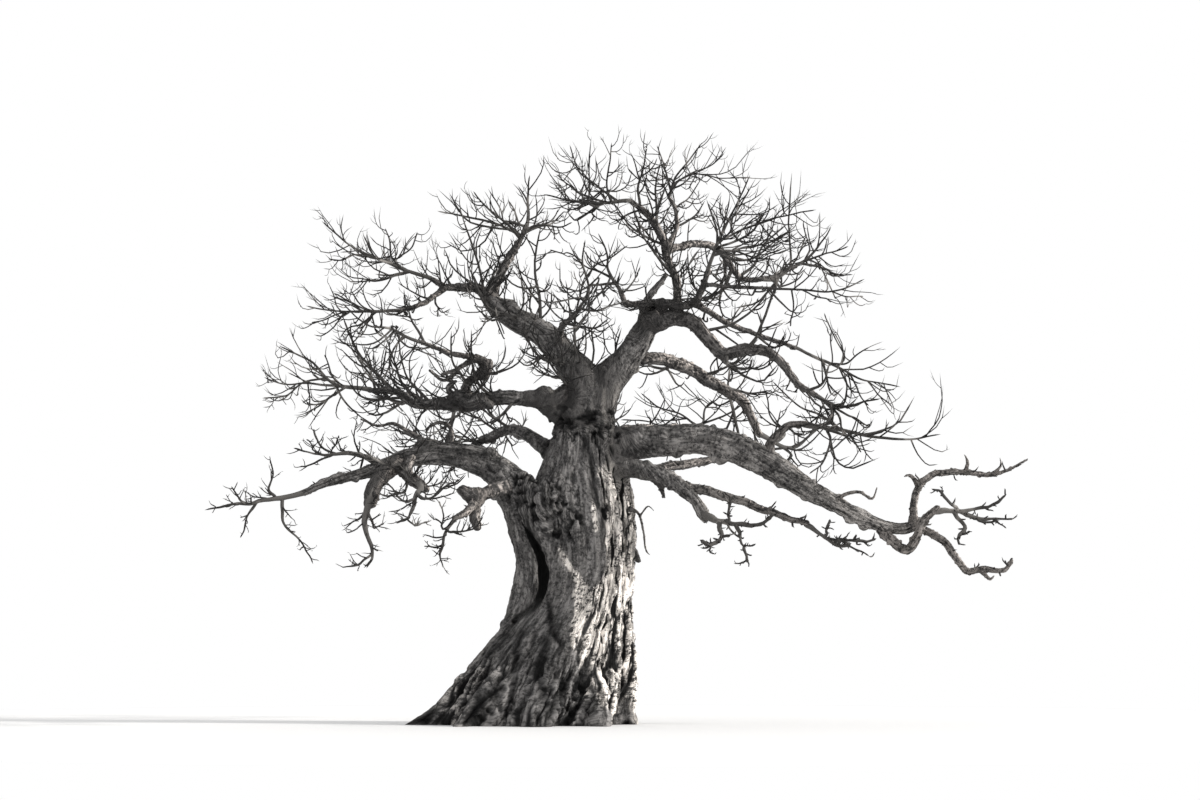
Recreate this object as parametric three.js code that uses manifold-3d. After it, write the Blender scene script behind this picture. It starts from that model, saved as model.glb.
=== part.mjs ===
// A bare baobab tree in millimetres, +Z up, with the ground at z = 0 and the flat cut of the trunk on it.
// The trunk, each bough and each mass of bare twigs is one closed solid. A mass keeps to its own space.
import * as THREE from "three";
import { mergeVertices } from "three/addons/utils/BufferGeometryUtils.js";
import Module from "manifold-3d";

const wasm = await Module();
wasm.setup();

// The tree is described as a person sees it who stands this far in front of the trunk.
const VIEWER = { across: 1000, distance: 60000, eye: 1500 };

// Room kept between two solids that meet, between twigs of two masses, and round a limb.
const CLEARANCE = 0.35;
const TWIG_ROOM = 45;
const LIMB_ROOM = 130;

// Trunk: a column with root ridges, folds and flutes, and the stems of the great boughs fused to it.
// Its corners follow the crests and grooves of the flutes up the trunk, four to a flute.
const COLUMN_SIDES = 52;
const COLUMN_RINGS = 15;
const COLUMN_TOP = 8250;
const ROOT_RIDGES = { count: 9, depth: 0.13, fade: 1100, turn: 0.7 };
const FOLDS = { count: 5, depth: 0.035, turn: 2.1, twist: -0.00009 };
const FLUTES = { count: 13, depth: 0.055, least: 0.3, turn: 0.9, twist: 0.00006 };
// Each station of the column: height, left edge, right edge, near edge, far edge.
const COLUMN = [
  [0, -3200, 1450, -2450, 2300],
  [350, -2870, 1560, -2200, 2050],
  [900, -2450, 1650, -1950, 1800],
  [1600, -1980, 1690, -1700, 1600],
  [2300, -1450, 1700, -1520, 1520],
  [3000, -760, 1720, -1420, 1450],
  [3800, -480, 1780, -1380, 1420],
  [4600, -500, 1810, -1350, 1400],
  [5300, -620, 1750, -1290, 1350],
  [5900, -680, 1660, -1180, 1270],
  [6500, -420, 1500, -1000, 1080],
  [7100, -130, 1290, -760, 820],
  [7700, 40, 1270, -620, 660],
  [8250, 260, 1330, -500, 540],
];

// Strands, roots and the burr that stand out of the column. Each station is [across, up, back, radius].
const STRANDS = [
  [
    [20, 500, -1800, 160], [60, 1200, -1500, 260], [100, 2100, -1240, 290], [140, 3000, -1120, 310],
    [90, 3700, -1030, 310], [-150, 4300, -880, 300], [-500, 4900, -790, 370], [-740, 5450, -680, 390],
    [-1050, 5950, -460, 330], [-1350, 6150, -360, 220],
  ],
  [[-480, 5000, -960, 220], [-230, 5550, -960, 400], [60, 6200, -740, 240]],
  [[-1150, 1900, -350, 380], [-2300, 750, -620, 350], [-3300, 130, -740, 200], [-3900, -120, -800, 90]],
  [[-600, 1900, -750, 330], [-1600, 720, -1650, 310], [-2300, 90, -2280, 180], [-2500, -120, -2480, 120]],
  [[200, 1500, -1050, 300], [-250, 620, -1880, 280], [-450, -120, -2600, 160]],
  [[700, 1600, -950, 280], [880, 600, -1550, 250], [1050, -120, -2150, 150]],
  [[950, 1500, -250, 320], [1400, 500, -340, 250], [1800, -120, -400, 130]],
  [[650, 1700, 850, 320], [1050, 500, 1620, 260], [1350, -120, 2200, 150]],
  [[-300, 1700, 1000, 350], [-650, 600, 1850, 290], [-850, -120, 2550, 160]],
  [[-1100, 1700, 550, 380], [-2200, 620, 1150, 310], [-3050, -120, 1700, 150]],
];
const STRAND_SIDES = 7;
// The hollow beside the long strand, and the fold that runs down from it to the left.
const HOLLOWS = [
  [
    [-880, 4900, -900, 50], [-660, 4500, -880, 110], [-420, 4150, -800, 160], [-350, 3650, -790, 170],
    [-370, 3250, -860, 150], [-640, 2860, -960, 100], [-960, 2640, -980, 80], [-1180, 2440, -800, 50],
  ],
];
const HOLLOW_SIDES = 6;

// Sections of limbs and twigs. A limb has a ring at each station, and one more halfway along a long span.
const STEM_SIDES = 9;
const BOUGH_SIDES = 8;
const THIN_BOUGH_SIDES = 6;
const THIN_BOUGH_RADIUS = 130;
const LONG_SPAN = 700;
const TWIG_SIDES = 3;
const LEADER_RINGS = 4;
const TWIG_RINGS = 1;
const FUSED_DETAIL = 4;

// The rule by which a mass grows. Lengths in millimetres, turns in radians, the rest are shares.
// Its first leader grows on from the limb's tip. The others fork from the first one, where they
// leave it at about half a right angle, between `from` and `to` of its length.
const LEADER = {
  sunk: 0.35, root: 0.92, rootLeast: 60, girth: 0.0105, least: 20, tip: 9, taper: 0.8, against: 0.85,
  wobble: 0.055, sag: 0.05, from: 0.12, to: 0.72, apart: 0.05, aside: 0.9, scatter: 0.08,
  bends: [{ at: 0.3, lead: 0.09 }, { at: 0.66, lead: 0.03 }],
};
// Twigs leave a leader on both sides at even steps. These solids hold each `kept`th of them.
const TWIG = {
  spacing: 200, kept: 10, fewest: 3, first: 0.1, last: 0.9,
  length: 0.5, fade: 0.8, uneven: [0.65, 1.35], shortest: 330, longest: 1250,
  turn: [0.62, 1.12], roll: [-0.2, 1.3], straight: 0.94, upturn: 0.2,
  girth: 0.011, least: 11, against: 0.8, taper: 0.4,
};
const SPACE_MARGIN = 260;
const MARKS_PER_LEADER = 10;

const PAINT = { trunk: 0x77716c, bough: 0x5f5a57, twig: 0x3d3937 };
const ROUGHNESS = 0.9;

/**
 * The limbs. Each station is [across, up, back, radius], as seen on the plane of the trunk.
 * The first `fused` spans of a limb are part of the trunk. A limb whose route starts inside
 * another is cut where it leaves it. `tips` are the furthest points of the mass at its end.
 */
const LIMBS = [
  {
    name: "left_low_bough", fused: 6,
    route: [
      [-1050, 1700, -350, 640], [-830, 2800, -480, 460], [-760, 3800, -560, 330],
      [-840, 4600, -520, 370], [-980, 5250, -440, 440], [-1320, 5980, -330, 450],
      [-1850, 6420, -300, 385], [-2650, 6640, -500, 300], [-3325, 6650, -750, 255],
      [-3975, 6500, -950, 205], [-4725, 6225, -1150, 150], [-5650, 5975, -1350, 115],
      [-6325, 5700, -1450, 95],
    ],
    tips: [
      [-8800, 5260, -2050], [-7925, 4600, -1500], [-6100, 3950, -1800], [-7200, 6550, -1100],
      [-8150, 5900, -2550],
    ],
  },
  {
    name: "left_low_stub",
    route: [[-3975, 6480, -950, 150], [-4375, 6100, -1500, 150], [-4625, 5750, -1850, 125]],
    tips: [[-4775, 3825, -2550], [-5375, 3850, -3100], [-5300, 4800, -1650], [-4350, 4900, -3350]],
  },
  {
    name: "left_front_limb",
    route: [[-3700, 6600, -850, 110], [-3760, 6150, -1900, 115], [-3400, 5900, -2800, 95]],
    tips: [[-4000, 4900, -4750], [-3250, 4950, -5250], [-2500, 6050, -5550], [-4600, 6300, -5150]],
  },
  {
    name: "left_low_top_limb",
    route: [[-4250, 6350, -1000, 85], [-5000, 6640, -1080, 62], [-5275, 6675, -1150, 55]],
    tips: [
      [-6650, 6800, -1600], [-6325, 7050, -2250], [-6150, 7275, -950], [-6450, 6350, -450],
      [-5500, 7100, -200],
    ],
  },
  {
    name: "left_back_bough", fused: 1,
    route: [
      [150, 6450, 350, 300], [-500, 6900, 750, 195], [-700, 7080, 950, 170], [-1100, 7250, 1600, 150],
      [-1500, 7200, 2400, 130], [-2250, 6800, 3800, 80],
    ],
    tips: [
      [-4300, 7400, 5900], [-3250, 7900, 6800], [-2100, 7850, 7200], [-4100, 6850, 4700],
      [-2900, 6300, 6000],
    ],
  },
  {
    name: "left_middle_bough", fused: 1,
    route: [
      [450, 7350, -50, 340], [-200, 7760, -180, 210], [-480, 8000, -230, 240], [-950, 8060, -330, 190],
      [-1600, 8050, -420, 182], [-2225, 7900, -460, 185], [-3175, 7900, -420, 140],
      [-3600, 7900, -360, 115], [-4075, 8220, -300, 85], [-4750, 8250, -250, 70],
    ],
    tips: [
      [-7025, 9350, -1100], [-7400, 8050, -600], [-7375, 8600, 450], [-6350, 7650, -1100],
      [-5900, 9150, 700], [-4750, 7450, 1000],
    ],
  },
  {
    name: "left_contorted_bough",
    route: [
      [-2225, 7900, -460, 130], [-2330, 8375, -560, 115], [-2050, 8650, -700, 108],
      [-1920, 8840, -900, 92], [-2175, 9060, -1150, 82], [-2875, 9220, -1500, 60],
      [-3500, 9475, -1800, 48],
    ],
    tips: [
      [-5450, 10450, -3600], [-4700, 9300, -2600], [-4500, 8500, -3600], [-4100, 9900, -4250],
      [-2900, 8900, -3750],
    ],
  },
  {
    name: "left_upper_bough", fused: 2,
    route: [
      [760, 7750, 0, 560], [560, 8450, 20, 490], [180, 9010, 60, 375], [-430, 9640, 140, 315],
      [-1080, 10010, 220, 300], [-1550, 10310, 260, 272], [-1760, 10570, 300, 220],
    ],
  },
  {
    name: "left_upper_arm",
    route: [
      [-1730, 10500, 290, 150], [-2050, 10790, 150, 130], [-2450, 10850, 0, 110],
      [-2900, 10875, -150, 85], [-3250, 11080, -250, 62],
    ],
    tips: [
      [-6000, 12550, -700], [-5825, 11550, -200], [-5300, 11000, 1250], [-4400, 12350, -1600],
      [-3600, 12250, 700], [-4300, 11800, 2300],
    ],
  },
  {
    name: "left_upper_drop",
    route: [
      [-2900, 10840, -150, 72], [-3375, 10475, -450, 68], [-3750, 10325, -650, 60],
      [-4050, 10250, -750, 54],
    ],
    tips: [
      [-6375, 10400, -1700], [-5650, 10700, -300], [-6200, 9950, -950], [-5500, 9550, -150],
      [-4450, 9600, -300],
    ],
  },
  {
    name: "left_upright_bough",
    route: [
      [-1760, 10480, 310, 140], [-1590, 11000, 400, 120], [-1325, 11475, 500, 108],
      [-1075, 11900, 600, 88],
    ],
    tips: [
      [-775, 13725, 750], [-2200, 13300, 200], [-3100, 12800, 1750], [125, 12800, 1750],
      [325, 12500, 100], [-1500, 12600, 2950],
    ],
  },
  {
    name: "crotch_limb",
    route: [[0, 9200, 80, 90], [0, 9780, -500, 80], [250, 10050, -1300, 62], [500, 10300, -2200, 46]],
    tips: [
      [625, 12050, -4000], [-250, 11800, -4800], [-1000, 10850, -5300], [1300, 10900, -5850],
      [300, 9300, -6100], [1700, 11900, -3650],
    ],
  },
  {
    name: "right_upper_bough", fused: 2,
    route: [
      [960, 7750, 0, 400], [1080, 8350, 0, 440], [1490, 8830, 0, 400], [1860, 9280, -20, 330],
      [2090, 9690, -50, 305], [2230, 10010, -90, 280],
    ],
  },
  {
    name: "swan_bough",
    route: [
      [2300, 9950, -100, 175], [2520, 10290, -150, 140], [2730, 10440, -260, 122],
      [3040, 10390, -430, 110], [3400, 10470, -700, 96], [3580, 10900, -900, 78],
      [3720, 11300, -1050, 66],
    ],
    tips: [
      [4775, 13725, -2150], [6450, 12850, -2950], [5900, 12350, -850], [5400, 11550, -2700],
      [4300, 12600, -4100],
    ],
  },
  {
    name: "swan_left_limb",
    route: [
      [2600, 10470, -200, 95], [2000, 10450, -420, 88], [1650, 10440, -560, 78],
      [1500, 10750, -660, 60],
    ],
    tips: [[950, 12250, -1600], [0, 10900, -2000], [300, 11600, -850], [700, 10250, -1900]],
  },
  {
    name: "central_stem",
    route: [
      [2950, 10370, -400, 100], [2925, 10975, -50, 110], [2700, 11550, 200, 105],
      [2550, 12100, 300, 100], [2350, 12500, 300, 95], [2125, 12775, 200, 88], [1750, 13050, 100, 60],
    ],
    tips: [
      [-425, 13200, -550], [225, 14475, 600], [1300, 14550, -950], [-100, 13700, 1650],
      [700, 12450, 1150], [800, 13400, -2650],
    ],
  },
  {
    name: "crest_riser",
    route: [
      [2650, 11850, 270, 70], [2930, 12350, 500, 62], [2900, 12800, 700, 54], [2740, 13150, 800, 44],
    ],
    tips: [
      [3575, 14550, 150], [2425, 14475, 1700], [4100, 14250, 1450], [4825, 13650, 2750],
      [1700, 13900, 3150],
    ],
  },
  {
    name: "right_upper_arm",
    route: [
      [2640, 11800, 270, 100], [3325, 11940, 800, 98], [3925, 11870, 1250, 94], [4225, 11500, 1600, 85],
      [4550, 11080, 1900, 75], [5250, 11080, 2200, 65], [5925, 11400, 2500, 54],
    ],
    tips: [
      [6800, 12375, 2650], [7350, 11150, 3150], [7225, 11900, 1850], [6100, 12500, 3950],
      [6900, 10550, 4450],
    ],
  },
  {
    name: "right_level_limb",
    route: [[3600, 10920, -910, 55], [4500, 10850, -1700, 48], [5250, 10825, -2400, 38]],
    tips: [[7625, 11075, -3550], [7600, 10600, -2800], [6800, 10450, -4500], [5750, 9850, -3950]],
  },
  {
    name: "right_s_bough",
    route: [
      [2150, 9960, -90, 220], [3050, 10060, -330, 195], [3425, 9900, -520, 178],
      [3775, 9475, -680, 168], [4100, 9150, -780, 158], [4675, 9290, -920, 145],
      [5250, 9200, -1050, 128], [5600, 8900, -1150, 100], [5925, 8400, -1250, 84],
      [6375, 8125, -1350, 68],
    ],
    tips: [
      [8000, 8050, -2200], [7250, 6900, -2050], [7700, 7350, -1000], [6000, 7200, -3000],
      [7100, 8700, -3000],
    ],
  },
  {
    name: "right_diagonal_limb",
    route: [
      [3400, 10440, -690, 80], [4175, 9960, -400, 72], [4975, 9640, -100, 62], [5875, 9320, 150, 54],
    ],
    tips: [
      [8500, 8350, 350], [7725, 9325, -450], [8275, 7850, 1250], [7700, 7850, -200], [6775, 9700, 1100],
      [6625, 10200, 1900],
    ],
  },
  {
    name: "right_middle_bough",
    route: [
      [1750, 9100, 0, 170], [2250, 9070, 250, 158], [2750, 8990, 750, 158], [3225, 8790, 1200, 160],
      [3700, 8500, 1600, 162], [4200, 8200, 2000, 148], [4550, 7960, 2300, 130],
      [4780, 7550, 2600, 112], [4975, 7150, 2900, 90],
    ],
    tips: [
      [6875, 7475, 4700], [5750, 6550, 4700], [5125, 8300, 5650], [6700, 8200, 3400],
      [4100, 6900, 5100],
    ],
  },
  {
    name: "right_back_limb",
    route: [
      [1000, 6900, 500, 130], [1500, 7250, 1200, 100], [2300, 7325, 2200, 80], [3050, 7350, 3200, 62],
    ],
    tips: [
      [3825, 8000, 5800], [4700, 7500, 6300], [3100, 8450, 6950], [2000, 8200, 5550],
      [1500, 7500, 6600],
    ],
  },
  {
    name: "right_low_bough", fused: 2,
    route: [
      [700, 6350, -50, 480], [1400, 6680, -100, 350], [1850, 6860, -130, 390], [2500, 6960, -200, 395],
      [3375, 7010, -350, 380], [4250, 6850, -550, 372], [5000, 6490, -750, 345],
      [5770, 6010, -950, 285], [6520, 5570, -1100, 235], [7270, 5180, -1200, 205],
      [7940, 4890, -1300, 175], [8500, 4800, -1400, 150], [8875, 4925, -1450, 128],
    ],
  },
  {
    name: "outer_dip_limb",
    route: [
      [8000, 4850, -1320, 125], [8220, 4520, -1450, 125], [8620, 4290, -1600, 122],
      [8850, 4640, -1750, 108], [9060, 5050, -1850, 100], [9350, 5310, -1900, 88],
    ],
    tips: [[11275, 5100, -1650], [11100, 5650, -2700], [9950, 4375, -2700], [9250, 5800, -2400]],
  },
  {
    name: "outer_rise_limb",
    route: [
      [8780, 4900, -1430, 100], [8790, 5450, -1380, 95], [8930, 5870, -1330, 90],
      [9275, 6140, -1280, 84], [9950, 6200, -1230, 74], [10700, 6150, -1180, 58],
      [11050, 6230, -1150, 44], [11625, 6525, -1100, 26],
    ],
  },
  {
    name: "outer_drop_limb",
    route: [
      [8780, 4880, -1440, 100], [9500, 4500, -1600, 94], [9820, 4050, -1650, 90],
      [10080, 3740, -1700, 84], [10500, 3800, -1750, 74], [11025, 3790, -1800, 60],
      [11180, 4020, -1820, 40],
    ],
  },
  {
    name: "cluster_limb",
    route: [
      [5150, 6450, -780, 150], [5270, 6950, -760, 112], [5625, 7330, -800, 96], [6100, 7420, -900, 78],
    ],
    tips: [
      [9500, 7150, -1950], [7400, 7250, -3350], [6200, 6150, -2700], [6500, 8050, -250],
      [5300, 8500, -1050], [7500, 6700, -500],
    ],
  },
  {
    name: "right_under_bough", fused: 1,
    route: [
      [1000, 6350, -300, 340], [1800, 6280, -520, 235], [2525, 6100, -900, 215],
      [3050, 5790, -1300, 185], [3400, 5450, -1650, 150], [3620, 5100, -1850, 118],
    ],
    tips: [[5275, 5025, -3350], [4675, 3975, -3750], [4200, 5600, -3750], [3500, 4500, -4250]],
  },
  {
    name: "right_under_outer",
    route: [
      [3050, 5830, -1250, 125], [3975, 5640, -1120, 115], [4750, 5400, -1000, 104],
      [5500, 5110, -900, 88], [6125, 4930, -820, 68],
    ],
    tips: [[7650, 4100, -1450], [7875, 4550, -400], [7250, 4450, 650], [6700, 5000, 100]],
  },
  {
    name: "right_hidden_bough",
    route: [
      [900, 6150, 500, 170], [2600, 6310, 1500, 128], [3275, 6430, 2100, 115], [4000, 6520, 2800, 95],
    ],
  },
  {
    name: "near_stub",
    route: [
      [-950, 5850, -400, 200], [-1500, 5790, -800, 185], [-2000, 5620, -1200, 150],
      [-2225, 5300, -1600, 95], [-2600, 5060, -2000, 66],
    ],
    tips: [[-2900, 3825, -3700], [-3350, 4350, -3300], [-2950, 5500, -3700], [-1900, 5100, -3800]],
  },
];

/** A point as seen on the plane of the trunk, moved back along the line of sight. */
function seen([across, up, back]) {
  const stretch = (VIEWER.distance + back) / VIEWER.distance;
  return new THREE.Vector3(
    VIEWER.across + (across - VIEWER.across) * stretch,
    back,
    VIEWER.eye + (up - VIEWER.eye) * stretch,
  );
}

/** A seeded source of numbers from 0 to 1: the same seed always gives the same numbers. */
function draws(seed) {
  const modulus = 4294967296;
  let state = (seed * 2654435 + 12345) % modulus;
  const next = () => {
    state = (state * 1664525 + 1013904223) % modulus;
    return state / modulus;
  };
  for (let i = 0; i < 4; i++) next();
  return next;
}

/** A number drawn between two others. */
function between([low, high], next) {
  return low + (high - low) * next();
}

/** A closed solid from a closed geometry. */
function solidOf(geometry) {
  geometry.deleteAttribute("normal");
  geometry.deleteAttribute("uv");
  const merged = mergeVertices(geometry, 1e-3);
  return new wasm.Manifold(
    new wasm.Mesh({
      numProp: 3,
      vertProperties: merged.getAttribute("position").array,
      triVerts: new Uint32Array(merged.index.array),
    }),
  );
}

/** The largest body of a solid, without the scraps that a cut leaves. */
function largest(solid) {
  const bodies = solid.decompose();
  bodies.sort((a, b) => b.volume() - a.volume());
  return bodies[0];
}

/** Rings at the given shares of a curve: each has a centre, a radius, the way along, and two ways across. */
function ringsAt(curve, shares, radiusAt) {
  const centres = shares.map((share) => curve.getPoint(share));
  let side = new THREE.Vector3(0.31, 0.87, 0.38);
  return shares.map((share, i) => {
    const before = centres[Math.max(i - 1, 0)];
    const after = centres[Math.min(i + 1, centres.length - 1)];
    const along = after.clone().sub(before).normalize();
    side = side.clone().addScaledVector(along, -side.dot(along)).normalize();
    const rise = side.clone().cross(along);
    return { centre: centres[i], radius: radiusAt(share), along, side, rise };
  });
}

/** Shares of a curve at even steps, both ends included. */
function evenShares(count) {
  return Array.from({ length: count + 1 }, (_, i) => i / count);
}

/** The rings of a limb, from its stations. The rings of its fused part are told apart. */
function ringsOfLimb(limb) {
  const points = limb.route.map(seen);
  const curve = new THREE.CatmullRomCurve3(points, false, "centripetal");
  const spans = points.length - 1;
  const shares = [0];
  let fusedRings = 0;
  for (let k = 0; k < spans; k++) {
    if (points[k].distanceTo(points[k + 1]) > LONG_SPAN) shares.push((k + 0.5) / spans);
    shares.push((k + 1) / spans);
    if (k + 1 === limb.fused) fusedRings = shares.length - 1;
  }
  const rings = ringsAt(curve, shares, (share) => {
    const k = Math.min(Math.floor(share * spans + 1e-9), spans - 1);
    return THREE.MathUtils.lerp(limb.route[k][3], limb.route[k + 1][3], share * spans - k);
  });
  return { rings, fusedRings };
}

/** A round bar bent along its rings. A pointed one ends in a point. */
function bar(rings, sides, { pointed = false, grow = 0 } = {}) {
  const steps = rings.length - 1;
  const shape = pointed
    ? new THREE.ConeGeometry(1, 1, sides, steps)
    : new THREE.CylinderGeometry(1, 1, 1, sides, steps);
  const spots = shape.getAttribute("position");
  for (let i = 0; i < spots.count; i++) {
    const ring = rings[Math.round((spots.getY(i) + 0.5) * steps)];
    const flat = Math.hypot(spots.getX(i), spots.getZ(i));
    const reach = flat > 1e-6 ? (ring.radius + grow) / flat : 0;
    const spot = ring.centre
      .clone()
      .addScaledVector(ring.side, spots.getX(i) * reach)
      .addScaledVector(ring.rise, spots.getZ(i) * reach);
    spots.setXYZ(i, spot.x, spot.y, spot.z);
  }
  return solidOf(shape);
}

/** The size of the column at a height: each value is read off between two stations. */
function columnAt(height) {
  let k = 0;
  while (k < COLUMN.length - 2 && COLUMN[k + 1][0] < height) k++;
  const share = (height - COLUMN[k][0]) / (COLUMN[k + 1][0] - COLUMN[k][0]);
  const [, left, right, near, far] = COLUMN[k].map((v, i) => THREE.MathUtils.lerp(v, COLUMN[k + 1][i], share));
  return { left, right, near, far };
}

/** How far the column's wall stands out or in at an angle and a height, as a share of its size. */
function ridgeShare(angle, height) {
  const root = ROOT_RIDGES.depth * Math.exp(-height / ROOT_RIDGES.fade);
  const flute = FLUTES.depth * (FLUTES.least + (1 - FLUTES.least) * (0.5 + 0.5 * Math.cos(angle)));
  return (
    1 +
    root * Math.cos(ROOT_RIDGES.count * angle + ROOT_RIDGES.turn) +
    FOLDS.depth * Math.cos(FOLDS.count * (angle + FOLDS.twist * height) + FOLDS.turn) +
    flute * Math.cos(FLUTES.count * (angle + FLUTES.twist * height) + FLUTES.turn)
  );
}

/** The column of the trunk, from its flat cut at the ground up to the fork. */
function columnSolid(grow) {
  const shape = new THREE.CylinderGeometry(1, 1, 1, COLUMN_SIDES, COLUMN_RINGS);
  const spots = shape.getAttribute("position");
  for (let i = 0; i < spots.count; i++) {
    const height = (spots.getY(i) + 0.5) * COLUMN_TOP;
    const { left, right, near, far } = columnAt(height);
    const flat = Math.hypot(spots.getX(i), spots.getZ(i));
    const corner = Math.atan2(-spots.getZ(i), spots.getX(i));
    const angle = corner - FLUTES.turn / FLUTES.count - FLUTES.twist * height;
    const x = flat * Math.cos(angle);
    const y = flat * Math.sin(angle);
    const share = ridgeShare(Math.atan2(y, x), height);
    spots.setXYZ(
      i,
      (left + right) / 2 + x * (((right - left) / 2) * share + grow),
      (near + far) / 2 + y * (((far - near) / 2) * share + grow),
      height,
    );
  }
  return solidOf(shape);
}

/** A bar along stations as seen, one ring at each. */
function strandBar(stations, sides, grow) {
  const curve = new THREE.CatmullRomCurve3(stations.map(seen), false, "centripetal");
  const spans = stations.length - 1;
  const rings = ringsAt(curve, evenShares(spans), (share) => stations[Math.round(share * spans)][3]);
  return bar(rings, sides, { grow });
}

/** The trunk: the column with its strands and roots and the stems of the great boughs, less the hollow. */
function trunkSolid(grow = 0) {
  const stems = LIMBS.filter((limb) => limb.fused).map((limb) =>
    bar(limb.rings.slice(0, limb.fusedRings + 1), STEM_SIDES, { grow }),
  );
  const strands = STRANDS.map((stations) => strandBar(stations, STRAND_SIDES, grow));
  const hollows = HOLLOWS.map((stations) => strandBar(stations, HOLLOW_SIDES, -grow));
  const whole = wasm.Manifold.union([columnSolid(grow), ...strands, ...stems]);
  return largest(whole.subtract(wasm.Manifold.union(hollows)).trimByPlane([0, 0, 1], 0));
}

/** The rings of the part of a limb that is a node of its own. */
function freeRings(limb) {
  const rings = limb.rings.slice(limb.fusedRings);
  const first = rings[0];
  const start = first.centre.clone().addScaledVector(first.along, limb.fused ? CLEARANCE : 0);
  return [{ ...first, centre: start }, ...rings.slice(1)];
}

/** How many sides a limb's section has. */
function sidesOf(limb) {
  if (limb.fused) return STEM_SIDES;
  return limb.route[0][3] > THIN_BOUGH_RADIUS ? BOUGH_SIDES : THIN_BOUGH_SIDES;
}

/** What a neighbour of a limb is cut with: the limb, grown by the clearance all round. */
function limbCutter(limb) {
  const rings = freeRings(limb);
  const ends = [rings[0], rings[rings.length - 1]].map((ring, i) => ({
    ...ring,
    centre: ring.centre.clone().addScaledVector(ring.along, i ? CLEARANCE : -CLEARANCE),
  }));
  return bar([ends[0], ...rings.slice(1, -1), ends[1]], sidesOf(limb), { grow: CLEARANCE });
}

/** The boughs, each cut clear of the trunk and of the boughs before it. */
function boughSolids() {
  const cutters = [trunkSolid(CLEARANCE)];
  const solids = new Map();
  for (const limb of LIMBS) {
    const whole = bar(freeRings(limb), sidesOf(limb));
    solids.set(limb.name, largest(whole.subtract(wasm.Manifold.union(cutters))));
    cutters.push(limbCutter(limb));
  }
  return solids;
}

/** A leader: a smooth path from a start to a tip, that sets out the given way. */
function leaderPath(start, heading, tip, next) {
  const way = tip.clone().sub(start);
  const span = way.length();
  const wobble = () => (next() - 0.5) * 2 * LEADER.wobble * span;
  const bends = LEADER.bends.map(({ at, lead }) =>
    start
      .clone()
      .addScaledVector(way, at)
      .addScaledVector(heading, lead * span)
      .add(new THREE.Vector3(wobble(), wobble(), wobble() - LEADER.sag * span)),
  );
  return { curve: new THREE.CatmullRomCurve3([start, ...bends, tip], false, "centripetal"), span };
}

/** Where a leader leaves the first one of its mass, as a share of that one's length. */
function forkShare(main, root, tip, i, next) {
  const chord = main.tip.clone().sub(root);
  const away = tip.clone().sub(root);
  const ahead = away.dot(chord) / chord.length();
  const aside = Math.sqrt(Math.max(away.lengthSq() - ahead * ahead, 0));
  const wanted = (ahead - aside * LEADER.aside) / chord.length() + (next() - 0.5) * LEADER.scatter;
  return THREE.MathUtils.clamp(wanted, LEADER.from + LEADER.apart * (i - 1), LEADER.to);
}

/** The leaders of a mass, one to each of its tips. */
function leadersOf(limb, massIndex) {
  const last = limb.rings[limb.rings.length - 1];
  const root = last.centre.clone().addScaledVector(last.along, -last.radius * LEADER.sunk);
  const leaders = [];
  limb.tips.map(seen).forEach((tip, i) => {
    const seed = massIndex * 100 + i;
    const next = draws(seed);
    let start = root;
    let heading = last.along;
    let stout = Math.min(last.radius * LEADER.root, LEADER.rootLeast);
    if (i > 0) {
      const share = forkShare(leaders[0], root, tip, i, next);
      start = leaders[0].curve.getPoint(share);
      heading = leaders[0].curve.getTangent(share);
      const wanted = LEADER.least + tip.distanceTo(start) * LEADER.girth;
      stout = Math.min(leaders[0].radiusAt(share) * LEADER.against, wanted);
    }
    const { curve, span } = leaderPath(start, heading, tip, next);
    const radiusAt = (share) => stout + (LEADER.tip - stout) * share ** LEADER.taper;
    leaders.push({ curve, span, tip, radiusAt, seed });
  });
  return leaders;
}

/** A twig that leaves its leader to one side and turns up towards its end. */
function twigOf(leader, k, count) {
  const next = draws(leader.seed * 100 + k + 7);
  const share = TWIG.first + ((TWIG.last - TWIG.first) * (k + next())) / count;
  const start = leader.curve.getPoint(share);
  const along = leader.curve.getTangent(share);
  const up = new THREE.Vector3(0, 0, 1);
  const side = along.clone().cross(up).normalize();
  const over = side.clone().cross(along);
  const turn = between(TWIG.turn, next);
  const rise = between(TWIG.roll, next);
  const roll = k % 2 ? rise : Math.PI - rise;
  const heading = along
    .clone()
    .multiplyScalar(Math.cos(turn))
    .addScaledVector(side, Math.sin(turn) * Math.cos(roll))
    .addScaledVector(over, Math.sin(turn) * Math.sin(roll));
  const wanted = leader.span * TWIG.length * (1 - TWIG.fade * share) * between(TWIG.uneven, next);
  const length = THREE.MathUtils.clamp(wanted, TWIG.shortest, TWIG.longest);
  const middle = start.clone().addScaledVector(heading, length * 0.5);
  const tip = start
    .clone()
    .addScaledVector(heading, length * TWIG.straight)
    .addScaledVector(up, length * TWIG.upturn);
  const stout = Math.min(leader.radiusAt(share) * TWIG.against, TWIG.least + length * TWIG.girth);
  return { points: [start, middle, tip], stout };
}

/** Points spread along every leader, each with the mass that it belongs to. */
function leaderMarks(masses) {
  return masses.flatMap((mass, owner) =>
    mass.leaders.flatMap(({ curve }) =>
      curve.getPoints(MARKS_PER_LEADER).map((point) => ({ point, owner })),
    ),
  );
}

/** Points spread along every limb, with the radius there. */
function limbMarks() {
  return LIMBS.flatMap((limb) => limb.rings.map(({ centre, radius }) => ({ point: centre, radius })));
}

/** The box round a mass's leaders with a margin, which its twigs stay inside. */
function spaceOf(mass) {
  const box = new THREE.Box3();
  for (const { curve } of mass.leaders) {
    for (const point of curve.getPoints(MARKS_PER_LEADER)) box.expandByPoint(point);
  }
  return box.expandByScalar(SPACE_MARGIN);
}

/** The distance from a point to the nearest mark that passes the test. */
function nearest(point, marks, test) {
  let least = Infinity;
  for (const mark of marks) if (test(mark)) least = Math.min(least, mark.point.distanceTo(point));
  return least;
}

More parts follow.
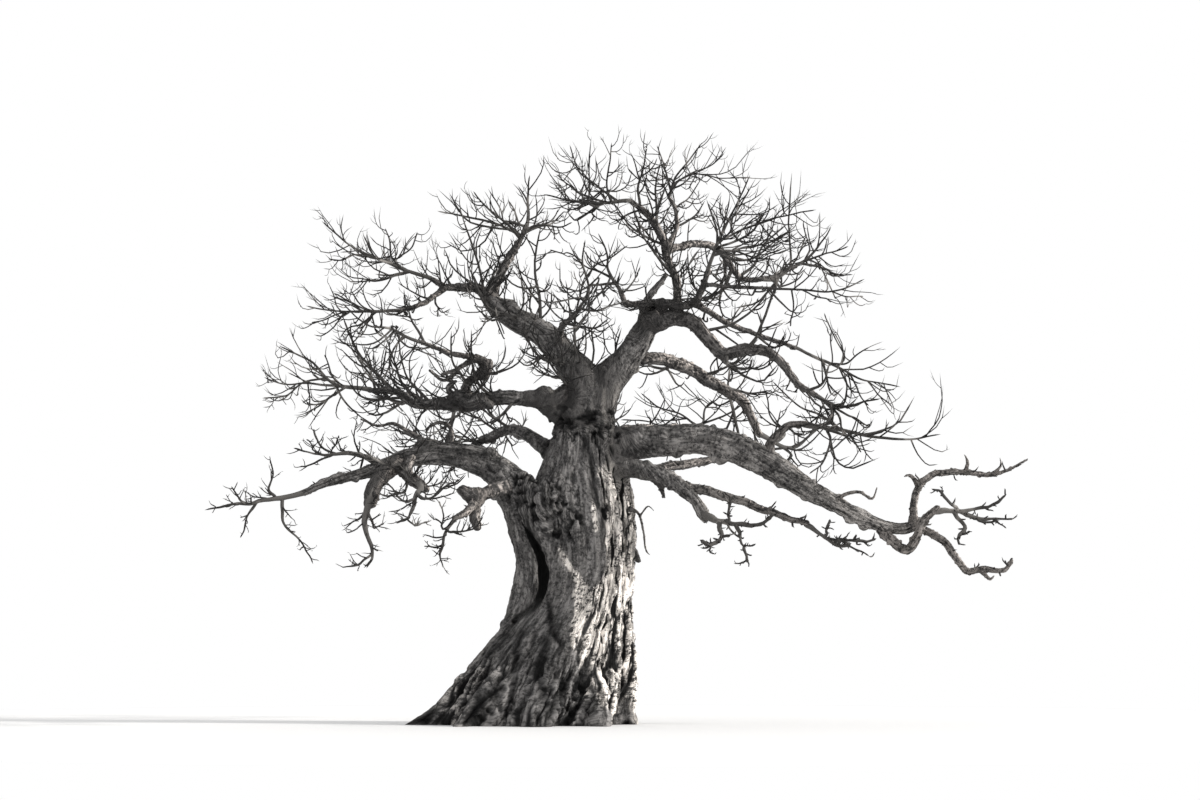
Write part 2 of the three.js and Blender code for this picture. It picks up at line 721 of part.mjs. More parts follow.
/** Whether a twig keeps to its mass's own space and clear of every limb. */
function keepsToItself(twig, owner, space, marks, limbs) {
  const [start, middle, tip] = twig.points;
  const lower = start.clone().lerp(middle, 0.5);
  const upper = middle.clone().lerp(tip, 0.5);
  return [lower, middle, upper, tip].every((point) => {
    if (!space.containsPoint(point)) return false;
    const own = nearest(point, marks, (mark) => mark.owner === owner);
    const other = nearest(point, marks, (mark) => mark.owner !== owner);
    if (own + TWIG_ROOM > other) return false;
    return limbs.every((mark) => mark.point.distanceTo(point) > mark.radius + LIMB_ROOM);
  });
}

/** The solid of a mass: its leaders with the twigs that keep to its space, fused. */
function massSolid(mass, owner, marks, limbs) {
  const space = spaceOf(mass);
  const bars = mass.leaders.map(({ curve, radiusAt }) =>
    bar(ringsAt(curve, evenShares(LEADER_RINGS), radiusAt), TWIG_SIDES, { pointed: true }),
  );
  for (const leader of mass.leaders) {
    const count = Math.max(TWIG.fewest, Math.round(leader.span / TWIG.spacing));
    for (let k = 0; k < count; k += TWIG.kept) {
      const twig = twigOf(leader, k, count);
      if (!keepsToItself(twig, owner, space, marks, limbs)) continue;
      const curve = new THREE.CatmullRomCurve3(twig.points, false, "centripetal");
      const thin = (share) => twig.stout * (1 - TWIG.taper * share);
      bars.push(bar(ringsAt(curve, evenShares(TWIG_RINGS), thin), TWIG_SIDES, { pointed: true }));
    }
  }
  return largest(wasm.Manifold.union(bars).simplify(FUSED_DETAIL).subtract(limbCutter(mass.limb)));
}

/** A named mesh from a solid. */
function meshOf(name, solid, color) {
  const { numProp, vertProperties, triVerts } = solid.getMesh();
  const geometry = new THREE.BufferGeometry();
  const positions = new Float32Array((vertProperties.length / numProp) * 3);
  for (let i = 0; i * 3 < positions.length; i++) {
    positions.set(vertProperties.subarray(i * numProp, i * numProp + 3), i * 3);
  }
  geometry.setAttribute("position", new THREE.BufferAttribute(positions, 3));
  geometry.setIndex(new THREE.BufferAttribute(new Uint32Array(triVerts), 1));
  geometry.computeVertexNormals();
  const material = new THREE.MeshStandardMaterial({ color, roughness: ROUGHNESS, metalness: 0 });
  const mesh = new THREE.Mesh(geometry, material);
  mesh.name = name;
  return mesh;
}

/** The name of the mass of twigs at the end of a limb. */
function massName(limb) {
  return limb.name.replace(/_(bough|limb)$/, "") + "_twigs";
}

for (const limb of LIMBS) Object.assign(limb, ringsOfLimb(limb));
const masses = LIMBS.filter((limb) => limb.tips).map((limb, i) => ({
  name: massName(limb),
  limb,
  leaders: leadersOf(limb, i + 1),
}));

const tree = new THREE.Group();
tree.name = "baobab_tree";
tree.add(meshOf("trunk", trunkSolid(), PAINT.trunk));
for (const [name, solid] of boughSolids()) tree.add(meshOf(name, solid, PAINT.bough));
const marks = leaderMarks(masses);
const limbs = limbMarks();
masses.forEach((mass, owner) => {
  tree.add(meshOf(mass.name, massSolid(mass, owner, marks, limbs), PAINT.twig));
});

export default tree;
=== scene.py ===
"""A bare baobab, dressed: a fissured trunk, wrinkled boughs and a crown of fine twigs on the limbs."""

import logging
import math
from dataclasses import dataclass, field, replace
from enum import Enum

import bpy
import numpy as np
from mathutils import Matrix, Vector


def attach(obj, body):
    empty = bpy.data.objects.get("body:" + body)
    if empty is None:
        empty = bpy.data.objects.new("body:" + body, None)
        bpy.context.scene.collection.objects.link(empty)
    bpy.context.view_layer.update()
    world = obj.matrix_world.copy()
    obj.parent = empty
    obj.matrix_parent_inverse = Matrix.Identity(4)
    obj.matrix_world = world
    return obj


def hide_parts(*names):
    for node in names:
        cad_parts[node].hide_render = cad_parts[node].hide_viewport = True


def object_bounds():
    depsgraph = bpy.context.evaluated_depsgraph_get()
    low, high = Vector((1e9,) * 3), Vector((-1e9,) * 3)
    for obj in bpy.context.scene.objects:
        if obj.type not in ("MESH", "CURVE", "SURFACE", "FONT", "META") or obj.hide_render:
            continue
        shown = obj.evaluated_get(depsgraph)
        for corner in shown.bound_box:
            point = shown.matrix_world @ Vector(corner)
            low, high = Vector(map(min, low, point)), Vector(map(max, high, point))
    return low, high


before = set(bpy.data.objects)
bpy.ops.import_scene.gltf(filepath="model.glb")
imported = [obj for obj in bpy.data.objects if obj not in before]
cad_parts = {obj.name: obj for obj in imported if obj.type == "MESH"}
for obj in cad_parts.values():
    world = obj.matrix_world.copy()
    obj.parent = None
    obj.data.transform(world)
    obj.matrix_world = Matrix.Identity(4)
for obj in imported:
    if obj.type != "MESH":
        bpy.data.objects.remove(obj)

LOG = logging.getLogger("baobab")
CAD_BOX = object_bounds()

Array = np.ndarray
Rows = tuple[tuple[float, ...], ...]
Piece = bpy.types.Object
Socket = bpy.types.NodeSocket
MM = 0.001
LONG_SPAN = 0.7
CUT_CORNERS = 8
UP = np.array([0.0, 0.0, 1.0])
ACROSS_HINT = np.array([0.31, 0.87, 0.38])
SPARE_HINT = np.array([0.8, -0.35, 0.49])


@dataclass(frozen=True)
class Viewer:
    """Where the one stands who sees the tree as it is described, in metres."""

    across: float = 1.0
    distance: float = 60.0
    eye: float = 1.5

    def seen(self, across: Array, up: Array, back: Array) -> Array:
        """Moves points of the plane of the trunk back along the line of sight.

        Args:
            across: how far right each point shows, in metres on that plane.
            up: how high each point shows.
            back: how far behind that plane each point lies.

        Returns:
            The places of the points, one row each.
        """
        stretch = (self.distance + back) / self.distance
        right = self.across + (across - self.across) * stretch
        return np.stack([right, back, self.eye + (up - self.eye) * stretch], axis=-1)

    def shown(self, points: Array) -> Array:
        """Where points show on the plane of the trunk, across and up."""
        stretch = self.distance / (self.distance + points[:, 1])
        right = self.across + (points[:, 0] - self.across) * stretch
        return np.stack([right, self.eye + (points[:, 2] - self.eye) * stretch], axis=-1)


VIEWER = Viewer()


@dataclass(frozen=True)
class Limb:
    """One limb, as it shows on the plane of the trunk, in millimetres.

    Each station of the route is across, up, back and the radius. The tips are the furthest points of the
    twigs at its end.
    """

    name: str
    route: Rows
    tips: Rows = ()

    def stations(self) -> Array:
        """The places of the stations, in metres."""
        return VIEWER.seen(*(np.array(self.route)[:, :3] * MM).T)

    def girths(self) -> Array:
        """The radius at each station, in metres."""
        return np.array(self.route)[:, 3] * MM

    def reaches(self) -> Array:
        """The places of the tips, in metres."""
        return VIEWER.seen(*(np.array(self.tips) * MM).T)

    def mass(self) -> str:
        """The name of the mass of twigs at its end."""
        return self.name.removesuffix("_bough").removesuffix("_limb") + "_twigs"


# The limbs that the part has, with the same stations and tips.
LIMBS = (
    Limb("left_low_bough", (
        (-1050, 1700, -350, 640), (-830, 2800, -480, 460), (-760, 3800, -560, 330), (-840, 4600, -520, 370),
        (-980, 5250, -440, 440), (-1320, 5980, -330, 450), (-1850, 6420, -300, 385), (-2650, 6640, -500, 300),
        (-3325, 6650, -750, 255), (-3975, 6500, -950, 205), (-4725, 6225, -1150, 150),
        (-5650, 5975, -1350, 115), (-6325, 5700, -1450, 95),
    ), (
        (-8800, 5260, -2050), (-7925, 4600, -1500), (-6100, 3950, -1800), (-7200, 6550, -1100),
        (-8150, 5900, -2550),
    )),
    Limb("left_low_stub", (
        (-3975, 6480, -950, 150), (-4375, 6100, -1500, 150), (-4625, 5750, -1850, 125),
    ), (
        (-4775, 3825, -2550), (-5375, 3850, -3100), (-5300, 4800, -1650), (-4350, 4900, -3350),
    )),
    Limb("left_front_limb", (
        (-3700, 6600, -850, 110), (-3760, 6150, -1900, 115), (-3400, 5900, -2800, 95),
    ), (
        (-4000, 4900, -4750), (-3250, 4950, -5250), (-2500, 6050, -5550), (-4600, 6300, -5150),
    )),
    Limb("left_low_top_limb", (
        (-4250, 6350, -1000, 85), (-5000, 6640, -1080, 62), (-5275, 6675, -1150, 55),
    ), (
        (-6650, 6800, -1600), (-6325, 7050, -2250), (-6150, 7275, -950), (-6450, 6350, -450),
        (-5500, 7100, -200),
    )),
    Limb("left_back_bough", (
        (150, 6450, 350, 300), (-500, 6900, 750, 195), (-700, 7080, 950, 170), (-1100, 7250, 1600, 150),
        (-1500, 7200, 2400, 130), (-2250, 6800, 3800, 80),
    ), (
        (-4300, 7400, 5900), (-3250, 7900, 6800), (-2100, 7850, 7200), (-4100, 6850, 4700),
        (-2900, 6300, 6000),
    )),
    Limb("left_middle_bough", (
        (450, 7350, -50, 340), (-200, 7760, -180, 210), (-480, 8000, -230, 240), (-950, 8060, -330, 190),
        (-1600, 8050, -420, 182), (-2225, 7900, -460, 185), (-3175, 7900, -420, 140),
        (-3600, 7900, -360, 115), (-4075, 8220, -300, 85), (-4750, 8250, -250, 70),
    ), (
        (-7025, 9350, -1100), (-7400, 8050, -600), (-7375, 8600, 450), (-6350, 7650, -1100),
        (-5900, 9150, 700), (-4750, 7450, 1000),
    )),
    Limb("left_contorted_bough", (
        (-2225, 7900, -460, 130), (-2330, 8375, -560, 115), (-2050, 8650, -700, 108), (-1920, 8840, -900, 92),
        (-2175, 9060, -1150, 82), (-2875, 9220, -1500, 60), (-3500, 9475, -1800, 48),
    ), (
        (-5450, 10450, -3600), (-4700, 9300, -2600), (-4500, 8500, -3600), (-4100, 9900, -4250),
        (-2900, 8900, -3750),
    )),
    Limb("left_upper_bough", (
        (760, 7750, 0, 560), (560, 8450, 20, 490), (180, 9010, 60, 375), (-430, 9640, 140, 315),
        (-1080, 10010, 220, 300), (-1550, 10310, 260, 272), (-1760, 10570, 300, 220),
    )),
    Limb("left_upper_arm", (
        (-1730, 10500, 290, 150), (-2050, 10790, 150, 130), (-2450, 10850, 0, 110), (-2900, 10875, -150, 85),
        (-3250, 11080, -250, 62),
    ), (
        (-6000, 12550, -700), (-5825, 11550, -200), (-5300, 11000, 1250), (-4400, 12350, -1600),
        (-3600, 12250, 700), (-4300, 11800, 2300),
    )),
    Limb("left_upper_drop", (
        (-2900, 10840, -150, 72), (-3375, 10475, -450, 68), (-3750, 10325, -650, 60),
        (-4050, 10250, -750, 54),
    ), (
        (-6375, 10400, -1700), (-5650, 10700, -300), (-6200, 9950, -950), (-5500, 9550, -150),
        (-4450, 9600, -300),
    )),
    Limb("left_upright_bough", (
        (-1760, 10480, 310, 140), (-1590, 11000, 400, 120), (-1325, 11475, 500, 108), (-1075, 11900, 600, 88),
    ), (
        (-775, 13725, 750), (-2200, 13300, 200), (-3100, 12800, 1750), (125, 12800, 1750), (325, 12500, 100),
        (-1500, 12600, 2950),
    )),
    Limb("crotch_limb", (
        (0, 9200, 80, 90), (0, 9780, -500, 80), (250, 10050, -1300, 62), (500, 10300, -2200, 46),
    ), (
        (625, 12050, -4000), (-250, 11800, -4800), (-1000, 10850, -5300), (1300, 10900, -5850),
        (300, 9300, -6100), (1700, 11900, -3650),
    )),
    Limb("right_upper_bough", (
        (960, 7750, 0, 400), (1080, 8350, 0, 440), (1490, 8830, 0, 400), (1860, 9280, -20, 330),
        (2090, 9690, -50, 305), (2230, 10010, -90, 280),
    )),
    Limb("swan_bough", (
        (2300, 9950, -100, 175), (2520, 10290, -150, 140), (2730, 10440, -260, 122), (3040, 10390, -430, 110),
        (3400, 10470, -700, 96), (3580, 10900, -900, 78), (3720, 11300, -1050, 66),
    ), (
        (4775, 13725, -2150), (6450, 12850, -2950), (5900, 12350, -850), (5400, 11550, -2700),
        (4300, 12600, -4100),
    )),
    Limb("swan_left_limb", (
        (2600, 10470, -200, 95), (2000, 10450, -420, 88), (1650, 10440, -560, 78), (1500, 10750, -660, 60),
    ), (
        (950, 12250, -1600), (0, 10900, -2000), (300, 11600, -850), (700, 10250, -1900),
    )),
    Limb("central_stem", (
        (2950, 10370, -400, 100), (2925, 10975, -50, 110), (2700, 11550, 200, 105), (2550, 12100, 300, 100),
        (2350, 12500, 300, 95), (2125, 12775, 200, 88), (1750, 13050, 100, 60),
    ), (
        (-425, 13200, -550), (225, 14475, 600), (1300, 14550, -950), (-100, 13700, 1650), (700, 12450, 1150),
        (800, 13400, -2650),
    )),
    Limb("crest_riser", (
        (2650, 11850, 270, 70), (2930, 12350, 500, 62), (2900, 12800, 700, 54), (2740, 13150, 800, 44),
    ), (
        (3575, 14550, 150), (2425, 14475, 1700), (4100, 14250, 1450), (4825, 13650, 2750),
        (1700, 13900, 3150),
    )),
    Limb("right_upper_arm", (
        (2640, 11800, 270, 100), (3325, 11940, 800, 98), (3925, 11870, 1250, 94), (4225, 11500, 1600, 85),
        (4550, 11080, 1900, 75), (5250, 11080, 2200, 65), (5925, 11400, 2500, 54),
    ), (
        (6800, 12375, 2650), (7350, 11150, 3150), (7225, 11900, 1850), (6100, 12500, 3950),
        (6900, 10550, 4450),
    )),
    Limb("right_level_limb", (
        (3600, 10920, -910, 55), (4500, 10850, -1700, 48), (5250, 10825, -2400, 38),
    ), (
        (7625, 11075, -3550), (7600, 10600, -2800), (6800, 10450, -4500), (5750, 9850, -3950),
    )),
    Limb("right_s_bough", (
        (2150, 9960, -90, 220), (3050, 10060, -330, 195), (3425, 9900, -520, 178), (3775, 9475, -680, 168),
        (4100, 9150, -780, 158), (4675, 9290, -920, 145), (5250, 9200, -1050, 128), (5600, 8900, -1150, 100),
        (5925, 8400, -1250, 84), (6375, 8125, -1350, 68),
    ), (
        (8000, 8050, -2200), (7250, 6900, -2050), (7700, 7350, -1000), (6000, 7200, -3000),
        (7100, 8700, -3000),
    )),
    Limb("right_diagonal_limb", (
        (3400, 10440, -690, 80), (4175, 9960, -400, 72), (4975, 9640, -100, 62), (5875, 9320, 150, 54),
    ), (
        (8500, 8350, 350), (7725, 9325, -450), (8275, 7850, 1250), (7700, 7850, -200), (6775, 9700, 1100),
        (6625, 10200, 1900),
    )),
    Limb("right_middle_bough", (
        (1750, 9100, 0, 170), (2250, 9070, 250, 158), (2750, 8990, 750, 158), (3225, 8790, 1200, 160),
        (3700, 8500, 1600, 162), (4200, 8200, 2000, 148), (4550, 7960, 2300, 130), (4780, 7550, 2600, 112),
        (4975, 7150, 2900, 90),
    ), (
        (6875, 7475, 4700), (5750, 6550, 4700), (5125, 8300, 5650), (6700, 8200, 3400), (4100, 6900, 5100),
    )),
    Limb("right_back_limb", (
        (1000, 6900, 500, 130), (1500, 7250, 1200, 100), (2300, 7325, 2200, 80), (3050, 7350, 3200, 62),
    ), (
        (3825, 8000, 5800), (4700, 7500, 6300), (3100, 8450, 6950), (2000, 8200, 5550), (1500, 7500, 6600),
    )),
    Limb("right_low_bough", (
        (700, 6350, -50, 480), (1400, 6680, -100, 350), (1850, 6860, -130, 390), (2500, 6960, -200, 395),
        (3375, 7010, -350, 380), (4250, 6850, -550, 372), (5000, 6490, -750, 345), (5770, 6010, -950, 285),
        (6520, 5570, -1100, 235), (7270, 5180, -1200, 205), (7940, 4890, -1300, 175),
        (8500, 4800, -1400, 150), (8875, 4925, -1450, 128),
    )),
    Limb("outer_dip_limb", (
        (8000, 4850, -1320, 125), (8220, 4520, -1450, 125), (8620, 4290, -1600, 122),
        (8850, 4640, -1750, 108), (9060, 5050, -1850, 100), (9350, 5310, -1900, 88),
    ), (
        (11275, 5100, -1650), (11100, 5650, -2700), (9950, 4375, -2700), (9250, 5800, -2400),
    )),
    Limb("outer_rise_limb", (
        (8780, 4900, -1430, 100), (8790, 5450, -1380, 95), (8930, 5870, -1330, 90), (9275, 6140, -1280, 84),
        (9950, 6200, -1230, 74), (10700, 6150, -1180, 58), (11050, 6230, -1150, 44), (11625, 6525, -1100, 26),
    )),
    Limb("outer_drop_limb", (
        (8780, 4880, -1440, 100), (9500, 4500, -1600, 94), (9820, 4050, -1650, 90), (10080, 3740, -1700, 84),
        (10500, 3800, -1750, 74), (11025, 3790, -1800, 60), (11180, 4020, -1820, 40),
    )),
    Limb("cluster_limb", (
        (5150, 6450, -780, 150), (5270, 6950, -760, 112), (5625, 7330, -800, 96), (6100, 7420, -900, 78),
    ), (
        (9500, 7150, -1950), (7400, 7250, -3350), (6200, 6150, -2700), (6500, 8050, -250),
        (5300, 8500, -1050), (7500, 6700, -500),
    )),
    Limb("right_under_bough", (
        (1000, 6350, -300, 340), (1800, 6280, -520, 235), (2525, 6100, -900, 215), (3050, 5790, -1300, 185),
        (3400, 5450, -1650, 150), (3620, 5100, -1850, 118),
    ), (
        (5275, 5025, -3350), (4675, 3975, -3750), (4200, 5600, -3750), (3500, 4500, -4250),
    )),
    Limb("right_under_outer", (
        (3050, 5830, -1250, 125), (3975, 5640, -1120, 115), (4750, 5400, -1000, 104), (5500, 5110, -900, 88),
        (6125, 4930, -820, 68),
    ), (
        (7650, 4100, -1450), (7875, 4550, -400), (7250, 4450, 650), (6700, 5000, 100),
    )),
    Limb("right_hidden_bough", (
        (900, 6150, 500, 170), (2600, 6310, 1500, 128), (3275, 6430, 2100, 115), (4000, 6520, 2800, 95),
    )),
    Limb("near_stub", (
        (-950, 5850, -400, 200), (-1500, 5790, -800, 185), (-2000, 5620, -1200, 150),
        (-2225, 5300, -1600, 95), (-2600, 5060, -2000, 66),
    ), (
        (-2900, 3825, -3700), (-3350, 4350, -3300), (-2950, 5500, -3700), (-1900, 5100, -3800),
    )),
)

# Stubs, knobs and dead shoots that are too small for the part, skin by skin.
TRUNK_STUBS = (
    Limb("burl_of_middle_bough", ((-560, 8000, -260, 230), (-350, 8150, -300, 240), (-250, 7900, -320, 150))),
    Limb("stub_under_right", ((2250, 6150, -700, 120), (2500, 5850, -900, 75), (2590, 5590, -980, 50))),
    Limb("stub_over_right", ((1450, 7080, 120, 150), (1800, 7270, 200, 85), (2080, 7290, 260, 60))),
    Limb("dark_fork", ((1980, 9650, -120, 120), (2150, 10450, -250, 105), (2650, 11150, -300, 62))),
    Limb("knot_by_neck", ((-330, 7950, -280, 190), (-60, 8060, -260, 200), (130, 8260, -160, 170))),
    Limb("knob_on_right_edge", ((1560, 4420, -150, 150), (1800, 4200, -200, 140), (1950, 4020, -210, 80))),
    Limb("web_under_dark_fork", ((2080, 10130, -60, 130), (2250, 10310, -40, 165), (2450, 10420, -20, 130))),
    Limb("web_by_right_bough", ((1150, 7000, 40, 200), (1400, 7080, 60, 190), (1650, 7140, 80, 180))),
    Limb("web_by_neck", ((-330, 7700, -120, 190), (60, 7860, -90, 230), (380, 7980, -40, 220))),
    Limb("knot_on_neck", ((250, 7700, -380, 160), (380, 7550, -480, 170), (620, 7500, -520, 130))),
    Limb("knots_of_middle_bough", (
        (-2750, 7960, -560, 120), (-2480, 8130, -640, 165), (-2250, 7960, -640, 190),
        (-1950, 8010, -640, 150), (-1750, 7860, -560, 110),
    )),
    Limb("hook_of_middle_bough", ((-2620, 8050, -600, 90), (-2790, 8320, -680, 78), (-2600, 8480, -700, 50))),
)
LEFT_STUBS = (
    Limb("knob_of_near_stub", (
        (-1980, 5600, -1130, 165), (-2190, 5640, -1290, 180), (-2370, 5740, -1380, 140),
    )),
    Limb("lump_under_near_stub", (
        (-2050, 5650, -1250, 140), (-2110, 5350, -1350, 148), (-2080, 5050, -1400, 140),
        (-2050, 4840, -1400, 100),
    )),
    Limb("thumb_on_low_bough", (
        (-4050, 6420, -1000, 180), (-4440, 6060, -1500, 195), (-4680, 5640, -1850, 185),
        (-4740, 5460, -1900, 150),
    )),
    Limb("broken_limb_under", (
        (-4000, 6300, -1250, 115), (-3650, 5990, -1600, 125), (-3340, 5790, -1800, 95),
    )),
    Limb("loop_over_low_bough", (
        (-2780, 6760, -520, 85), (-2700, 7080, -600, 66), (-2740, 7330, -650, 56), (-2990, 7440, -680, 48),
        (-3240, 7340, -680, 40), (-3340, 7190, -660, 28),
    )),
    Limb("snake_over_low_bough", (
        (-2850, 6760, -560, 90), (-3300, 6950, -700, 72), (-3800, 7230, -820, 58), (-4150, 7420, -900, 46),
        (-4550, 7360, -980, 36), (-4950, 7520, -1050, 24),
    )),
    Limb("knob_of_contorted", (
        (-1960, 8600, -720, 120), (-1830, 8880, -900, 150), (-2100, 9060, -1080, 100),
    )),
    Limb("stump_of_contorted", (
        (-2150, 9040, -1100, 70), (-2650, 8740, -1250, 58), (-2950, 8640, -1300, 40),
    )),
    Limb("loop_of_left_arm", ((-2550, 8750, -520, 52), (-2900, 8500, -700, 46), (-3250, 8750, -820, 36))),
)
CREST_STUBS = (
    Limb("broken_arm", ((1950, 9150, 150, 110), (2250, 9100, 300, 70), (2000, 9250, 500, 40))),
)
RIGHT_STUBS = (
    Limb("dead_shoot", (
        (1700, 5300, -500, 60), (1950, 5180, -620, 36), (2080, 4700, -700, 30), (2150, 4250, -720, 26),
        (2230, 4150, -760, 16),
    )),
    Limb("dead_shoot_fork", ((1980, 5100, -640, 30), (2200, 5350, -760, 22), (2330, 5250, -820, 14))),
    Limb("low_finger", (
        (6500, 5500, -1080, 95), (6780, 5420, -1250, 60), (7080, 5650, -1350, 48), (7450, 5700, -1400, 42),
        (7750, 5550, -1420, 34), (7880, 5820, -1440, 20),
    )),
    Limb("spur_on_outer_rise", (
        (10050, 6180, -1220, 60), (10130, 6480, -1240, 38), (10060, 6640, -1250, 16),
    )),
    Limb("spur_two_on_outer_rise", (
        (10750, 6140, -1180, 52), (10960, 6380, -1230, 30), (10940, 6560, -1240, 14),
    )),
    Limb("spur_on_outer_drop", (
        (10400, 3800, -1730, 62), (10640, 3560, -1800, 40), (10760, 3640, -1830, 16),
    )),
    Limb("spur_on_outer_bend", ((8930, 5870, -1330, 70), (8700, 6120, -1360, 42), (8560, 6100, -1380, 18))),
)


def unit(ways: Array) -> Array:
    """Ways cut or stretched to one metre."""
    return ways / np.maximum(np.linalg.norm(ways, axis=-1, keepdims=True), 1e-12)


def eased(value: Array, low: float, high: float) -> Array:
    """A share that eases from 0 at the low value to 1 at the high one."""
    share = np.clip((value - low) / (high - low), 0, 1)
    return share * share * (3 - 2 * share)


class Curves:
    """Smooth curves through rows of knots. Every row has the same number of knots."""

    NEAR = 1e-4

    def __init__(self, knots: Array) -> None:
        """Works out the cubic of each span, its pace set by the root of the gaps between knots.

        Args:
            knots: places, curve by curve and knot by knot.
        """
        before_first = 2 * knots[:, :1] - knots[:, 1:2]
        after_last = 2 * knots[:, -1:] - knots[:, -2:-1]
        row = np.concatenate([before_first, knots, after_last], axis=1)
        pace = np.sqrt(np.linalg.norm(np.diff(row, axis=1), axis=2, keepdims=True))
        pace = np.maximum(pace, self.NEAR)
        last, here, after = pace[:, :-2], pace[:, 1:-1], pace[:, 2:]
        a, b, c, d = row[:, :-3], row[:, 1:-2], row[:, 2:-1], row[:, 3:]
        leave = ((b - a) / last - (c - a) / (last + here) + (c - b) / here) * here
        arrive = ((c - b) / here - (d - b) / (here + after) + (d - c) / after) * here
        square = 3 * (c - b) - 2 * leave - arrive
        cube = 2 * (b - c) + leave + arrive
        self.cubics = np.stack([b, leave, square, cube], axis=2)
        self.spans = knots.shape[1] - 1

    def at(self, rows: Array | int, shares: Array | float) -> Array:
        """Places on some of the curves.

        Args:
            rows: which curves.
            shares: how far along each, from 0 to 1.

        Returns:
            The places.
        """
        place = np.clip(shares, 0, 1) * self.spans
        span = np.minimum(place.astype(int), self.spans - 1)
        step = (place - span)[..., None]
        start, leave, square, cube = np.moveaxis(self.cubics[rows, span], -2, 0)
        return start + step * (leave + step * (square + step * cube))

    def heading(self, rows: Array | int, shares: Array | float) -> Array:
        """The way along some of the curves at these shares, one metre long."""
        return unit(self.at(rows, shares + self.NEAR) - self.at(rows, shares - self.NEAR))

    def paths(self, steps: int) -> Array:
        """Every curve as a path of even steps, both ends included."""
        rows = np.arange(len(self.cubics))[:, None]
        return self.at(rows, np.linspace(0, 1, steps + 1)[None, :])


class Draws:
    """Seeded numbers from 0 to 1, one for each seed at a time: the same seeds give the same numbers."""

    MODULUS = np.uint64(4294967296)
    FACTORS = (np.uint64(2654435), np.uint64(1664525))
    STEPS = (np.uint64(12345), np.uint64(1013904223))
    WARMING = 4

    def __init__(self, seeds: Array) -> None:
        """Starts a row of numbers for each seed."""
        self.state = (seeds.astype(np.uint64) * self.FACTORS[0] + self.STEPS[0]) % self.MODULUS
        for _ in range(self.WARMING):
            self.next()

    def next(self) -> Array:
        """The next number of each row."""
        self.state = (self.state * self.FACTORS[1] + self.STEPS[1]) % self.MODULUS
        return self.state.astype(float) / float(self.MODULUS)

    def between(self, low: float, high: float) -> Array:
        """The next number of each row, drawn between two others."""
        return low + (high - low) * self.next()

    def either_way(self, most: float) -> Array:
        """The next offset of each row in all three ways, up to a size either way."""
        return np.stack([self.between(-most, most) for _ in range(3)], axis=-1)


class Noise:
    """Seeded waves in space, smooth in all three ways, from about -1 to 1."""

    CELLS = 256
    SWING = 1.6
    GROOVE = 2.2
    STEP = np.array([17.3, 5.9, 11.1])

    def __init__(self, seed: int) -> None:
        """Draws the slope at each corner of the cells."""
        draws = np.random.default_rng(seed)
        self.order = np.tile(draws.permutation(self.CELLS), 2)
        self.slopes = unit(draws.normal(size=(self.CELLS, 3)))

    def at(self, places: Array) -> Array:
        """The height of the waves, whose length is about one.

        Args:
            places: where, one row each.

        Returns:
            The heights.
        """
        floor = np.floor(places).astype(int)
        rest = places - floor
        ease = rest**3 * (rest * (rest * 6 - 15) + 10)
        cell = floor % self.CELLS
        height = np.zeros(len(places))
        for corner in np.ndindex(2, 2, 2):
            x, y, z = ((cell + corner) % self.CELLS).T
            slope = self.slopes[self.order[self.order[self.order[x] + y] + z]]
            share = np.prod(np.where(corner, ease, 1 - ease), axis=1)
            height += share * np.sum(slope * (rest - corner), axis=1)
        return height * self.SWING

    def ways(self, places: Array, shifts: tuple[float, ...], layers: int = 1) -> Array:
        """An offset in all three ways at each place, from waves that are shifted apart."""
        return np.stack([self.layered(places + shift, layers) for shift in shifts], axis=-1)

    def layered(self, places: Array, layers: int = 3) -> Array:
        """Waves with finer and finer ones on them."""
        height = np.zeros(len(places))
        for layer in range(layers):
            height += self.at(places * 2**layer + self.STEP * layer) * 0.5**layer
        return height

    def ridged(self, places: Array, layers: int = 2) -> Array:
        """Narrow grooves between broad backs, from 0 in a groove to 1 on a back."""
        shares = [0.5**layer for layer in range(layers)]
        height = np.zeros(len(places))
        for layer, share in enumerate(shares):
            waves = np.abs(self.at(places * 2**layer + self.STEP * layer))
            height += np.minimum(waves * self.GROOVE, 1) * share
        return height / sum(shares)


def ways_across(paths: Array) -> tuple[Array, Array, Array]:
    """The way along and two ways across at each point of some paths, without a twist.

    Args:
        paths: places, path by path and point by point.

    Returns:
        The ways along, and two ways across, which turn from one to the other anticlockwise about them.
    """
    along = np.empty_like(paths)
    along[:, 1:-1] = paths[:, 2:] - paths[:, :-2]
    along[:, 0] = paths[:, 1] - paths[:, 0]
    along[:, -1] = paths[:, -1] - paths[:, -2]
    along = unit(along)
    lean = np.abs(along[:, 0] @ ACROSS_HINT)
    side = np.where(lean[:, None] < 0.85, ACROSS_HINT, SPARE_HINT)
    sides = np.empty_like(paths)
    for k in range(paths.shape[1]):
        side = unit(side - along[:, k] * np.sum(side * along[:, k], axis=1, keepdims=True))
        sides[:, k] = side
    return along, sides, np.cross(along, sides)


